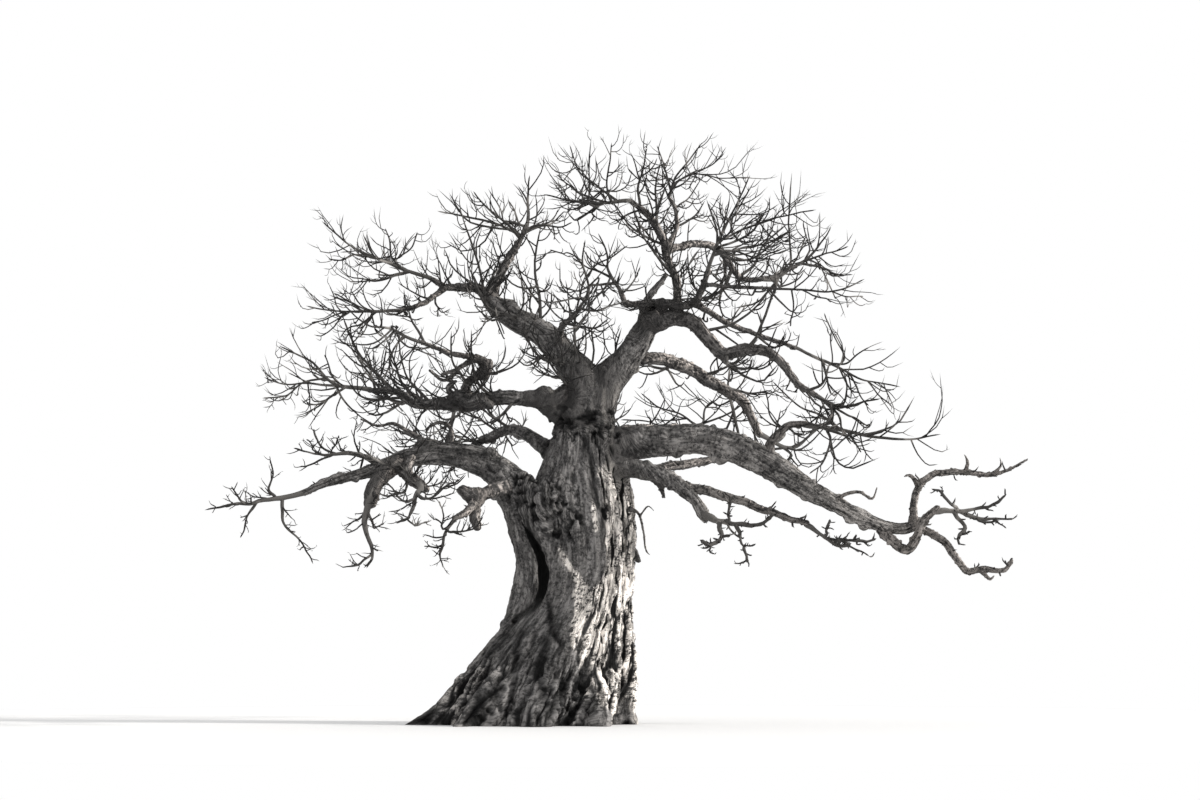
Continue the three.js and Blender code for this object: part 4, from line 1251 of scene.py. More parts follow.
@dataclass(frozen=True)
class LimbGroup:
    """Limbs of one side of the crown, in one skin with the bark's relief."""

    name: str
    seed: int
    stubs: tuple[Limb, ...]
    limbs: tuple[str, ...]
    step: float = 0.03
    voxel: float = 0.019
    smoothings: int = 4
    bar_sides: int = 14
    waver: float = 0.35
    collar: float = 0.42
    collar_length: float = 2.0
    nearness: float = -8.0
    least_reach: float = 0.2
    limb_reach: float = 3.0
    limb_shift: float = 5.3
    roughness: float = 0.35

    def build(self) -> Piece:
        """Builds the limbs of this group as one finished piece."""
        axes = [Axis(limb, self.step, self.waver) for limb in (*limbs_named(self.limbs), *self.stubs)]
        skin = bars_along(axes, self.name, self.bar_sides, self.collar, self.collar_length)
        in_one_skin(skin, self.voxel)
        finish_with(skin, "SMOOTH", factor=0.5, iterations=self.smoothings)
        self.raise_bark(skin, axes)
        skin.data.shade_smooth()
        return skin

    def raise_bark(self, skin: Piece, axes: list[Axis]) -> None:
        """Raises the bark's relief on the skin, and paints what the finish reads."""
        noise = Noise(self.seed)
        points, normals = points_of(skin), normals_of(skin)
        lift, crest = np.zeros((2, len(points)))
        place, total = np.zeros((len(points), 3)), np.full(len(points), 1e-9)
        for k, axis in enumerate(axes):
            reach, bark = axis.place(points)
            near = np.nonzero(reach < self.limb_reach)[0]
            weight = np.maximum(reach[near], self.least_reach) ** self.nearness
            spot = bark[near] + self.limb_shift * k
            limb_lift, limb_crest = relief_of_limb(noise, spot, axis.girth)
            lift[near] += limb_lift * weight
            crest[near] += limb_crest * weight
            place[near] += spot * weight[:, None]
            total[near] += weight
        place_points(skin, points + normals * (lift / total)[:, None])
        # The pale mask here is painted sunlight on the sunny side and real bleaching on the outer right.
        paint(
            skin, crest=np.clip(crest / total, 0, 1), weather=sunlit_and_bleached_share(points, normals_of(skin)),
            rough=np.full(len(points), self.roughness), bark_place=place / total[:, None],
        )


LIMB_GROUPS = (
    LimbGroup("left_limbs", 21, LEFT_STUBS, (
        "left_low_stub", "left_front_limb", "left_low_top_limb", "left_contorted_bough", "left_upper_arm",
        "left_upper_drop", "left_upright_bough", "near_stub", "crotch_limb",
    )),
    LimbGroup("crest_limbs", 22, CREST_STUBS, (
        "swan_bough", "swan_left_limb", "central_stem", "crest_riser", "right_upper_arm", "right_level_limb",
        "right_s_bough", "right_diagonal_limb", "right_middle_bough", "right_back_limb",
    )),
    LimbGroup("right_limbs", 23, RIGHT_STUBS, (
        "outer_dip_limb", "outer_rise_limb", "outer_drop_limb", "cluster_limb", "right_under_outer",
        "right_hidden_bough",
    )),
)


@dataclass
class Branches:
    """Thin branches, one in each row: their knots, radii at root and tip, lengths, seeds and masses."""

    knots: Array
    stout: Array
    slim: Array
    length: Array
    seeds: Array
    homes: Array
    taper: float = 1.0

    def rows(self) -> tuple[Array, ...]:
        """What each branch has a row in."""
        return self.knots, self.stout, self.slim, self.length, self.seeds, self.homes

    def curves(self) -> Curves:
        """The smooth curves through the knots."""
        return Curves(self.knots)

    def radii_at(self, rows: Array, shares: Array) -> Array:
        """The radius of some of the branches, some way along."""
        stout, slim = self.stout[rows], self.slim[rows]
        return stout + (slim - stout) * np.clip(shares, 0, 1) ** self.taper

    def kept(self, keep: Array) -> "Branches":
        """Only some of the branches."""
        return Branches(*(row[keep] for row in self.rows()), self.taper)

    def of(self, homes: list[int]) -> "Branches":
        """Only the branches of some masses."""
        return self.kept(np.isin(self.homes, homes))

    def add_to(self, surface: Surface, home: int, steps: int, sides: int) -> None:
        """Adds the bars of the branches of one mass to a surface."""
        own = self.of([home])
        if len(own.knots):
            rows = np.arange(len(own.knots))[:, None]
            radii = own.radii_at(rows, np.linspace(0, 1, steps + 1)[None])
            surface.add_bars(own.curves().paths(steps), radii, sides)


def joined(several: list[Branches]) -> Branches:
    """Several lots of branches as one."""
    rows = zip(*(lot.rows() for lot in several))
    return Branches(*map(np.concatenate, rows), several[0].taper)


@dataclass(frozen=True)
class LeaderRule:
    """How the leaders of a mass grow: the first one on from the limb's tip, the others forking from it."""

    sunk: float = 0.35
    root: float = 0.98
    girth: float = 0.0125
    stoutness: float = 1.35
    least: float = 0.026
    tip: float = 0.0155
    taper: float = 0.62
    against: float = 0.85
    wobble: float = 0.055
    sag: float = 0.05
    first_fork: float = 0.12
    last_fork: float = 0.72
    apart: float = 0.05
    aside: float = 0.9
    scatter: float = 0.08
    bends: Rows = ((0.3, 0.09), (0.66, 0.03))

    def path(self, start: Array, heading: Array, tip: Array, draws: Draws) -> Array:
        """The knots of a leader, which sets out the given way and sags on its way to its tip."""
        way = tip - start
        span = np.linalg.norm(way)
        knots = [start]
        for at, lead in self.bends:
            offset = draws.either_way(self.wobble * span)[0]
            knots.append(start + way * at + heading * lead * span + offset - UP * self.sag * span)
        return np.array([*knots, tip])

    def grow(self, limb: Limb, home: int) -> Branches:
        """Grows the leaders of one mass.

        Args:
            limb: the limb that carries the mass.
            home: the mass's place in the list of masses, from 0.

        Returns:
            The leaders, one to each tip.
        """
        centre, along, radius = Axis(limb).end()
        root = centre - along * radius * self.sunk
        tips = limb.reaches()
        seeds = (home + 1) * 100 + np.arange(len(tips), dtype=np.uint64)
        knots = [self.path(root, along, tips[0], Draws(seeds[:1]))]
        stouts = [radius * self.root]
        main = Curves(knots[0][None])
        for i, tip in enumerate(tips[1:], start=1):
            draws = Draws(seeds[i : i + 1])
            share = self.fork_share(tips[0] - root, tip - root, i, draws)
            start = main.at(0, share)
            knots.append(self.path(start, main.heading(0, share), tip, draws))
            thick = stouts[0] + (self.tip - stouts[0]) * share**self.taper
            wanted = self.least + np.linalg.norm(tip - start) * self.girth * self.stoutness
            stouts.append(min(thick * self.against, wanted))
        rows = np.array(knots)
        length = np.linalg.norm(rows[:, -1] - rows[:, 0], axis=1)
        slim, homes = np.full(len(rows), self.tip), np.full(len(rows), home)
        return Branches(rows, np.array(stouts), slim, length, seeds, homes, self.taper)

    def fork_share(self, chord: Array, away: Array, i: int, draws: Draws) -> float:
        """Where a leader leaves the first one of its mass, as a share of that one's length.

        Args:
            chord: the way from the root to the first one's tip.
            away: the way from the root to this one's tip.
            i: this one's number in its mass.
            draws: its seeded numbers.

        Returns:
            The share.
        """
        length = np.linalg.norm(chord)
        ahead = away @ chord / length
        aside = math.sqrt(max(away @ away - ahead * ahead, 0))
        wanted = (ahead - aside * self.aside) / length + (draws.next()[0] - 0.5) * self.scatter
        return float(np.clip(wanted, self.first_fork + self.apart * (i - 1), self.last_fork))


@dataclass(frozen=True)
class TwigRule:
    """How twigs leave a branch on both sides at even steps, and turn up towards their ends."""

    spacing: float = 0.2
    fewest: int = 3
    first: float = 0.1
    last: float = 0.9
    length: float = 0.5
    fade: float = 0.8
    uneven: tuple[float, float] = (0.65, 1.35)
    shortest: float = 0.33
    longest: float = 1.25
    turn: tuple[float, float] = (0.62, 1.12)
    roll: tuple[float, float] = (-0.2, 1.3)
    straight: float = 0.94
    upturn: float = 0.2
    girth: float = 0.011
    least: float = 0.011
    against: float = 0.8
    taper: float = 0.4
    crooks: tuple[float, float] = (0.3, 0.62)
    crook: float = 0.045
    arch: float = 0.0
    sag: float = 0.0
    kept: float = 1.0
    salt: int = 7

    def grow(self, parents: Branches) -> Branches:
        """Grows the twigs of all the branches given.

        Args:
            parents: the branches that carry them.

        Returns:
            The twigs, each with a crook or two on its way.
        """
        counts = np.maximum(self.fewest, np.floor(parents.length / self.spacing + 0.5).astype(int))
        rows = np.repeat(np.arange(len(counts)), counts)
        k = np.arange(len(rows)) - np.repeat(np.cumsum(counts) - counts, counts)
        seeds = parents.seeds[rows] * np.uint64(100) + k.astype(np.uint64) + np.uint64(self.salt)
        seeds %= np.uint64(2**40)
        draws = Draws(seeds)
        curves = parents.curves()
        share = self.first + (self.last - self.first) * (k + draws.next()) / counts[rows]
        start = curves.at(rows, share)
        along = curves.heading(rows, share)
        side = unit(np.cross(along, UP))
        over = np.cross(side, along)
        turn = draws.between(*self.turn)[:, None]
        rise = draws.between(*self.roll)
        roll = np.where(k % 2 == 1, rise, math.pi - rise)[:, None]
        heading = along * np.cos(turn) + (side * np.cos(roll) + over * np.sin(roll)) * np.sin(turn)
        wanted = parents.length[rows] * self.length * (1 - self.fade * share) * draws.between(*self.uneven)
        length = np.clip(wanted, self.shortest, self.longest)
        stout = np.minimum(parents.radii_at(rows, share) * self.against, self.least + length * self.girth)
        size = length[:, None]
        tip = start + heading * size * self.straight + UP * size * self.upturn
        middle = start + (heading * 0.5 + draws.either_way(self.arch) - UP * self.sag) * size
        bow = Curves(np.stack([start, middle, tip], axis=1))
        every = np.arange(len(rows))
        crooked = [bow.at(every, at) + draws.either_way(self.crook) * size for at in self.crooks]
        knots = np.stack([start, *crooked, tip], axis=1)
        twigs = Branches(knots, stout, stout * (1 - self.taper), length, seeds, parents.homes[rows])
        return twigs.kept(draws.next() < self.kept)


@dataclass(frozen=True)
class Habit:
    """How the twigs of some masses branch, from the leaders to the finest, and how crooked they all are."""

    leaders: LeaderRule
    twigs: TwigRule
    sprigs: TwigRule
    spurs: TwigRule
    crook: float
    crook_length: float
    masses: tuple[str, ...] = ()


LACE = Habit(
    LeaderRule(),
    TwigRule(
        spacing=0.36, first=0.14, last=0.98, length=0.55, fade=0.5, uneven=(0.5, 1.5), shortest=0.55,
        longest=1.9, turn=(0.5, 1.2), roll=(-1.2, 1.3), girth=0.01, least=0.019, crook=0.03, arch=0.17,
        sag=0.08,
    ),
    TwigRule(
        spacing=0.36, fewest=2, first=0.2, last=0.97, length=0.52, fade=0.35, uneven=(0.5, 1.5), shortest=0.25,
        longest=0.95, turn=(0.45, 1.1), roll=(-1.3, 1.4), upturn=0.12, girth=0.008, least=0.0155, crook=0.03,
        arch=0.18, sag=0.07, kept=0.85, salt=11,
    ),
    TwigRule(
        spacing=0.34, fewest=1, first=0.35, fade=0.2, shortest=0.12, longest=0.34, turn=(0.5, 0.95),
        roll=(-1.3, 1.5), upturn=0.1, girth=0.008, least=0.0135, crook=0.04, kept=0.32, salt=13,
    ),
    crook=0.03,
    crook_length=0.75,
)
# Some masses are more open, most of them on the right.
AIRY = replace(
    LACE,
    twigs=replace(LACE.twigs, kept=0.56),
    sprigs=replace(LACE.sprigs, kept=0.52),
    spurs=replace(LACE.spurs, kept=0.25),
    masses=(
        "right_s_twigs", "right_diagonal_twigs", "right_middle_twigs", "right_back_twigs", "cluster_twigs",
        "right_upper_arm_twigs", "right_level_twigs", "crotch_twigs", "left_contorted_twigs",
    ),
)
AIRY_ARMS = 0.48
SPARSE = Habit(
    LeaderRule(),
    TwigRule(spacing=0.42, length=0.4, shortest=0.25, longest=0.9, upturn=0.1, least=0.014, kept=0.85),
    TwigRule(
        spacing=0.24, fewest=1, first=0.3, last=0.98, length=0.45, fade=0.4, shortest=0.09, longest=0.34,
        turn=(0.6, 1.2), roll=(-0.9, 1.4), upturn=0.1, least=0.0115, crook=0.07, kept=0.85, salt=11,
    ),
    TwigRule(
        spacing=0.2, fewest=1, first=0.3, last=1.0, shortest=0.05, longest=0.12, roll=(-1.2, 1.5), upturn=0.05,
        least=0.01, kept=0.5, salt=13,
    ),
    crook=0.05,
    crook_length=0.5,
    masses=(
        "left_low_twigs", "left_low_stub_twigs", "left_front_twigs", "left_low_top_twigs", "near_stub_twigs",
    ),
)
ANTLERS = Habit(
    LeaderRule(tip=0.03, least=0.05),
    TwigRule(
        spacing=0.72, fewest=2, first=0.25, length=0.3, fade=0.2, shortest=0.28, longest=0.62,
        turn=(0.7, 1.2), roll=(-1.3, 1.4), upturn=0.12, girth=0.02, least=0.022, crook=0.12, kept=0.8,
    ),
    TwigRule(
        spacing=0.17, fewest=2, first=0.15, last=1.0, length=0.2, fade=0.1, shortest=0.06, longest=0.17,
        turn=(0.8, 1.4), roll=(-1.4, 1.5), upturn=0.15, girth=0.03, least=0.016, crook=0.08, taper=0.2,
        salt=11,
    ),
    TwigRule(kept=0.0),
    crook=0.075,
    crook_length=0.5,
    masses=("outer_dip_twigs", "right_under_twigs", "right_under_outer_twigs"),
)
# Long arms along the thinner limbs, and the radius below which each of these limbs bears them, in metres.
ARMS = TwigRule(
    spacing=0.3, first=0.0, last=0.98, length=0.6, fade=0.1, uneven=(0.4, 1.2), shortest=0.8, longest=2.4,
    turn=(0.75, 1.3), roll=(-1.0, 1.4), upturn=0.25, girth=0.014, least=0.02, taper=0.6, crook=0.05, arch=0.13,
    sag=0.05, salt=17,
)
ARMED = dict.fromkeys(
    (
        "left_middle_bough", "left_contorted_bough", "left_upper_arm", "left_upper_drop", "left_upright_bough",
        "crotch_limb", "swan_left_limb", "central_stem", "crest_riser", "right_upper_arm", "right_level_limb",
        "right_diagonal_limb", "cluster_limb", "left_front_limb",
    ),
    0.2,
) | {
    "left_back_bough": 0.16, "left_upper_bough": 0.6, "swan_bough": 0.16, "right_s_bough": 0.19,
    "right_middle_bough": 0.17, "right_back_limb": 0.14, "left_low_top_limb": 0.1,
}
# Short twigs on the same limbs, and knobby spurs on the limbs that are bare.
SHOOTS = TwigRule(
    spacing=0.36, fewest=2, first=0.08, last=0.98, length=0.2, fade=0.0, shortest=0.3, longest=0.75,
    turn=(0.8, 1.35), roll=(-1.3, 1.45), upturn=0.16, girth=0.012, least=0.0165, crook=0.05, arch=0.12,
    kept=0.8, salt=31,
)
KNOBS = TwigRule(
    spacing=0.2, fewest=2, first=0.05, last=1.0, length=0.08, fade=0.0, uneven=(0.5, 1.6), shortest=0.1,
    longest=0.3, turn=(0.9, 1.45), roll=(-1.4, 1.5), upturn=0.1, girth=0.05, least=0.016, crook=0.1, taper=0.3,
    kept=0.75, salt=53,
)
KNOBBED = {
    "outer_rise_limb": 0.12, "outer_drop_limb": 0.12, "outer_dip_limb": 0.14, "right_under_outer": 0.14,
    "right_under_bough": 0.2, "left_low_bough": 0.2, "left_low_stub": 0.2, "near_stub": 0.2,
    "right_hidden_bough": 0.14,
}


class BarSize(Enum):
    """How fine the bars of each size of branch are: their steps and sides."""

    LEADERS = (22, 7)
    ARMS = (12, 5)
    TWIGS = (7, 4)
    SPRIGS = (4, 3)
    SPURS = (2, 3)


@dataclass
class Crown:
    """The bare twigs: every mass grown on from its limb, and arms and shoots along the thinner limbs."""

    waves: int = 41
    limb_knots: int = 13
    first_limb_seed: int = 9000
    thinning_salt: int = 7
    space_margin: float = 0.26
    free_margin: float = 30.0
    limb_room: float = 0.02
    column_room: float = 0.03
    box_room: float = 0.022
    masses: list[Limb] = field(default_factory=lambda: [limb for limb in LIMBS if limb.tips])
    axes: list[Axis] = field(default_factory=lambda: [Axis(limb, 0.1) for limb in LIMBS])

    def habit_of(self, mass: Limb) -> Habit:
        """How the twigs of a mass branch."""
        return next((habit for habit in (ANTLERS, AIRY, SPARSE) if mass.mass() in habit.masses), LACE)

    def limb_branches(self, bearing: dict[str, float]) -> Branches:
        """Limbs as branches that carry side growth, each with the mass that this growth joins.

        Args:
            bearing: by name, the radius below which each limb bears it, in metres.

        Returns:
            The limbs, from where they are thin enough.
        """
        rows = []
        for i, limb in enumerate(LIMBS):
            stations, girths = limb.stations(), limb.girths()
            slim = np.nonzero(girths < bearing.get(limb.name, 0))[0]
            if len(slim) < 2:
                continue
            shares = np.linspace(slim[0] / (len(stations) - 1), 1, self.limb_knots)
            knots = Curves(stations[None]).at(0, shares)
            length = np.linalg.norm(np.diff(knots, axis=0), axis=1).sum()
            seed = np.array([self.first_limb_seed + i], dtype=np.uint64)
            home = np.array([self.home_of(limb)])
            rows.append(Branches(knots[None], girths[slim[:1]], girths[-1:], np.array([length]), seed, home))
        return joined(rows)

    def home_of(self, limb: Limb) -> int:
        """The mass that a limb's shoots join: its own, or the one whose limb starts nearest to its end."""
        if limb in self.masses:
            return self.masses.index(limb)
        end = limb.stations()[-1]
        return int(np.argmin([np.linalg.norm(mass.stations()[0] - end) for mass in self.masses]))

    def inside(self, twigs: Branches, spaces: Array) -> Branches:
        """Only the twigs that keep to their mass's space, inside the part's box and clear of the limbs.

        Args:
            twigs: the twigs.
            spaces: the lowest and highest corner of each mass's space.

        Returns:
            The twigs that stay.
        """
        low, high = (np.array(corner) for corner in CAD_BOX)
        ends = twigs.knots[:, 1:]
        keep = np.all((ends > low + self.box_room) & (ends < high - self.box_room), axis=(1, 2))
        own = spaces[twigs.homes]
        keep &= np.all((ends > own[:, None, 0]) & (ends < own[:, None, 1]), axis=(1, 2))
        tips = twigs.knots[:, -1]
        for axis in self.axes:
            keep &= axis.place(tips)[0] > 1 + self.limb_room / axis.girth
        keep &= Column().place(tips)[0] > 1 + self.column_room
        return twigs.kept(keep)

    def thinned(self, lot: Branches) -> Branches:
        """Leaves out some of the arms and shoots where the crown is more open."""
        airy = np.array([self.habit_of(mass) is AIRY for mass in self.masses])[lot.homes]
        draws = Draws(lot.seeds + np.uint64(self.thinning_salt))
        return lot.kept(~airy | (draws.next() < AIRY_ARMS))

    def spaces(self, leaders: Branches) -> Array:
        """The lowest and highest corner of each mass's space: its leaders with a margin."""
        paths = leaders.curves().paths(10)
        own = [paths[leaders.homes == home] for home in range(len(self.masses))]
        margin = self.space_margin
        return np.array([[row.min(axis=(0, 1)) - margin, row.max(axis=(0, 1)) + margin] for row in own])

    def grow(self) -> dict[BarSize, Branches]:
        """Grows everything.

        Returns:
            The branches of each size.
        """
        leaders = joined([self.habit_of(mass).leaders.grow(mass, i) for i, mass in enumerate(self.masses)])
        spaces = self.spaces(leaders)
        free = spaces + np.array([[-self.free_margin] * 3, [self.free_margin] * 3])
        armed, knobbed = self.limb_branches(ARMED), self.limb_branches(KNOBBED)
        arms = self.thinned(self.inside(ARMS.grow(armed), free))
        shoots = self.thinned(self.inside(SHOOTS.grow(armed), free))
        twigs, sprigs, spurs = [shoots], [self.inside(KNOBS.grow(knobbed), free)], []
        for habit in (LACE, AIRY, SPARSE, ANTLERS):
            own = [k for k, mass in enumerate(self.masses) if self.habit_of(mass) is habit]
            first, side = leaders.of(own), arms.of(own)
            twigs += [self.inside(habit.twigs.grow(first), spaces), self.inside(habit.twigs.grow(side), free)]
            carriers = joined([*twigs[-2:], shoots.of(own), side])
            sprigs.append(self.inside(joined([habit.sprigs.grow(carriers), habit.sprigs.grow(first)]), free))
            spurs.append(self.inside(habit.spurs.grow(sprigs[-1]), free))
        grown = dict(zip(BarSize, (leaders, arms, joined(twigs), joined(sprigs), joined(spurs))))
        for size, lot in grown.items():
            LOG.info("%d %s", len(lot.knots), size.name.lower())
        return grown

    def build(self) -> list[tuple[Piece, str]]:
        """Builds the twigs of every mass.

        Returns:
            Each finished piece with the name of the node that it stands for.
        """
        grown = self.grow()
        noise = Noise(self.waves)
        pieces = []
        for home, mass in enumerate(self.masses):
            surface = Surface()
            for size, lot in grown.items():
                lot.add_to(surface, home, *size.value)
            piece = surface.build(mass.mass() + "_grown")
            piece.data.shade_smooth()
            paint(piece, girth=np.concatenate(surface.girths))
            place_points(piece, self.crooked(points_of(piece), self.habit_of(mass), noise))
            pieces.append((piece, mass.mass()))
        return pieces

    def crooked(self, points: Array, habit: Habit, noise: Noise) -> Array:
        """Points moved by waves in space, so that all twigs bend this way and that but stay joined."""
        return points + noise.ways(points / habit.crook_length, (3.3, 17.9, 31.4), 2) * habit.crook


class Link:
    """Short ways to lay out the nodes of a finish."""

    def __init__(self, tree: bpy.types.NodeTree) -> None:
        """Starts laying out nodes in a tree."""
        self.tree = tree
        self.column = 0

    def add(self, kind: str, *values: object, **inputs: object) -> bpy.types.Node:
        """Adds a node, with its inputs set or linked.

        Args:
            kind: the node's type. A colon and an operation may follow.
            values: its first inputs; a socket is linked and a value is set.
            inputs: its inputs by name, with a space written as an underscore.

        Returns:
            The node.
        """
        name, _, operation = kind.partition(":")
        node = self.tree.nodes.new(name)
        if operation:
            node.operation = operation
        self.column += 1
        node.location = (self.column * 180, -(self.column % 4) * 160)
        for socket, value in zip(node.inputs, values):
            self.give(socket, value)
        for key, value in inputs.items():
            self.give(node.inputs[key.replace("_", " ")], value)
        return node

    def give(self, socket: Socket, value: object) -> None:
        """Links a socket to an input, or sets the input's value."""
        if isinstance(value, Socket):
            self.tree.links.new(value, socket)
        else:
            socket.default_value = value

    def math(self, operation: str, *values: object) -> Socket:
        """What an operation makes of some numbers."""
        return self.add("ShaderNodeMath:" + operation, *values).outputs[0]

    def ranged(self, value: Socket, low: float, high: float, least: float = 0.0, most: float = 1.0) -> Socket:
        """A number moved from one range into another, and kept inside it."""
        return self.add("ShaderNodeMapRange", value, low, high, least, most).outputs[0]

    def noise(self, place: Socket, scale: object, detail: float, roughness: float) -> Socket:
        """Soft spots, from 0 to 1."""
        node = self.add("ShaderNodeTexNoise", Vector=place, Scale=scale, Detail=detail, Roughness=roughness)
        return node.outputs["Fac"]

    def squeezed(self, place: Socket, *factors: float) -> Socket:
        """A place squeezed or stretched in its three ways."""
        return self.add("ShaderNodeVectorMath:MULTIPLY", place, factors).outputs[0]

    def painted(self, name: str, output: str = "Fac") -> Socket:
        """What is painted on the piece under a name."""
        node = self.add("ShaderNodeAttribute")
        node.attribute_name = name
        return node.outputs[output]

    def place(self) -> Socket:
        """The place on the piece."""
        return self.add("ShaderNodeTexCoord").outputs["Object"]

    def mixed(self, share: object, first: object, second: object, way: str = "MIX") -> Socket:
        """Mixes two colours.

        Args:
            share: how much of the second colour.
            first: the first colour.
            second: the second colour.
            way: how they are mixed.

        Returns:
            The socket with the mixed colour.
        """
        mix = self.add("ShaderNodeMix")
        mix.data_type = "RGBA"
        mix.blend_type = way
        colours = [socket for socket in mix.inputs if socket.type == "RGBA"]
        for socket, value in zip((mix.inputs[0], *colours), (share, first, second)):
            self.give(socket, value)
        return next(socket for socket in mix.outputs if socket.type == "RGBA")


def bark_weave_group() -> bpy.types.NodeTree:
    """Fine bark pattern: mottling, streaks along the limb and small cracks, built once.

    Returns:
        The node group, with a place and sizes going in, and tone and height coming out.
    """
    tree = bpy.data.node_groups.new("fine_bark", "ShaderNodeTree")
    tree.interface.new_socket("Place", in_out="INPUT", socket_type="NodeSocketVector")
    for name in ("Streak Size", "Crack Size"):
        tree.interface.new_socket(name, in_out="INPUT", socket_type="NodeSocketFloat")
    for name in ("Tone", "Height", "Crack"):
        tree.interface.new_socket(name, in_out="OUTPUT", socket_type="NodeSocketFloat")
    link = Link(tree)
    place, streak_size, crack_size = link.add("NodeGroupInput").outputs[:3]
    lengthways = link.squeezed(place, 1.0, 1.0, 0.16)
    streaks = link.noise(lengthways, streak_size, 6.0, 0.62)
    crack = link.ranged(link.noise(lengthways, crack_size, 5.0, 0.7), 0.41, 0.53)
    mottle = link.noise(place, 2.3, 5.0, 0.6)
    grain = link.noise(place, 14.0, 4.0, 0.78)
    wrinkles = link.noise(link.squeezed(place, 0.22, 0.22, 1.2), 11.0, 4.0, 0.65)
    broad = link.math("MULTIPLY_ADD", mottle, 0.45, link.math("MULTIPLY", streaks, 0.55))
    speckled = link.math("ADD", broad, link.ranged(grain, 0.0, 1.0, -0.58, 0.58))
    tone = link.math("ADD", speckled, link.ranged(wrinkles, 0.0, 1.0, -0.1, 0.1))
    height = link.math("MULTIPLY_ADD", grain, 0.5, link.math("MULTIPLY_ADD", crack, 0.5, streaks))
    link.add("NodeGroupOutput", Tone=tone, Height=height, Crack=crack)
    return tree


@dataclass(frozen=True)
class BarkFinish:
    """Bark, from its grooves with painted shade to its pale crests, worn and with painted sunlight."""

    name: str
    groove: tuple[float, float, float]
    face: tuple[float, float, float]
    crest: tuple[float, float, float]
    streak_size: float
    crack_size: float
    bump: float
    bump_depth: float
    roughness: float = 0.9
    shine: float = 0.25
    painted: bool = True
    painted_sunlit_patch: tuple[float, float, float] = (0.24, 0.226, 0.212)

    def make(self, weave: bpy.types.NodeTree) -> bpy.types.Material:
        """Makes the material.

        Args:
            weave: the shared group for the fine pattern.

        Returns:
            The material.
        """
        material = bpy.data.materials.new(self.name)
        material.use_nodes = True
        material.node_tree.nodes.clear()
        link = Link(material.node_tree)
        fine = link.add("ShaderNodeGroup")
        fine.node_tree = weave
        where = link.painted("bark_place", "Vector") if self.painted else link.place()
        for socket, value in zip(fine.inputs, (where, self.streak_size, self.crack_size)):
            link.give(socket, value)
        tone, height, crack = fine.outputs
        colour = link.mixed(link.ranged(tone, 0.38, 0.6), (*self.groove, 1), (*self.face, 1))
        colour = self.weathered(link, colour, tone, crack) if self.painted else self.thickened(link, colour)
        bump = link.add("ShaderNodeBump", Strength=self.bump, Distance=self.bump_depth, Height=height)
        shader = link.add(
            "ShaderNodeBsdfPrincipled", Base_Color=colour, Roughness=self.roughness,
            Specular_IOR_Level=self.shine, Normal=bump.outputs[0],
        )
        link.add("ShaderNodeOutputMaterial", Surface=shader.outputs[0])
        return material

    def thickened(self, link: Link, colour: Socket) -> Socket:
        """Gives thick twigs the paler tone of the boughs, and paints pale patches in for sunlit twigs."""
        greyed = link.mixed(link.ranged(link.painted("girth"), 0.018, 0.07), colour, (*self.crest, 1))
        # Painted sunlight: pale patches standing in for twigs that catch the sun.
        patches = link.noise(link.place(), 0.9, 3.0, 0.7)
        return link.mixed(link.ranged(patches, 0.56, 0.68), greyed, (*self.painted_sunlit_patch, 1))

    def weathered(self, link: Link, colour: Socket, tone: Socket, crack: Socket) -> Socket:
        """Paints shade into the grooves and cracks, and pales the worn crests, partly as painted sunlight.

        Args:
            link: the layout of the nodes.
            colour: the bark's colour so far.
            tone: the fine tone of the bark.
            crack: how far each place is from a crack, from 0 to 1.

        Returns:
            The socket with the worn colour and the painted light and shade.
        """
        crest = link.painted("crest")
        worn = link.math("MULTIPLY", link.ranged(crest, 0.28, 0.55), link.ranged(tone, 0.38, 0.5))
        # Pale crests: worn bark, and painted sunlight where the sunlit mask is strong.
        pale = link.math("MULTIPLY", worn, link.painted("weather"))
        paled = link.mixed(pale, colour, (*self.crest, 1))
        # Painted shade in the cracks and in the low grooves.
        depth = link.ranged(link.painted("rough"), 0.0, 1.0, 0.24, 0.85)
        painted_crack_shade = link.math("MULTIPLY", link.math("SUBTRACT", 1.0, crack), depth)
        sunk = link.ranged(crest, 0.08, 0.5, 0.05)
        dark = link.math("MULTIPLY", sunk, link.math("SUBTRACT", 1.0, painted_crack_shade))
        painted_shade_grey = link.add("ShaderNodeCombineColor", dark, dark, dark).outputs[0]
        return link.mixed(1.0, paled, painted_shade_grey, "MULTIPLY")


# The crest colours are pale bark, and also the cream of painted sunlight where the sunlit mask lays them on.
TRUNK_BARK = BarkFinish(
    "trunk_bark", (0.06, 0.058, 0.0575), (0.215, 0.207, 0.203), (0.93, 0.87, 0.81), 8.0, 10.0, 1.0, 0.07
)
BOUGH_BARK = BarkFinish(
    "bough_bark", (0.034, 0.0325, 0.0322), (0.115, 0.11, 0.108), (0.7, 0.63, 0.58), 14.0, 16.0, 0.9, 0.03
)
TWIG_BARK = BarkFinish(
    "twig_bark", (0.014, 0.0132, 0.0128), (0.034, 0.0322, 0.031), (0.1, 0.095, 0.09), 30.0, 40.0, 0.3, 0.004,
    painted=False,
)


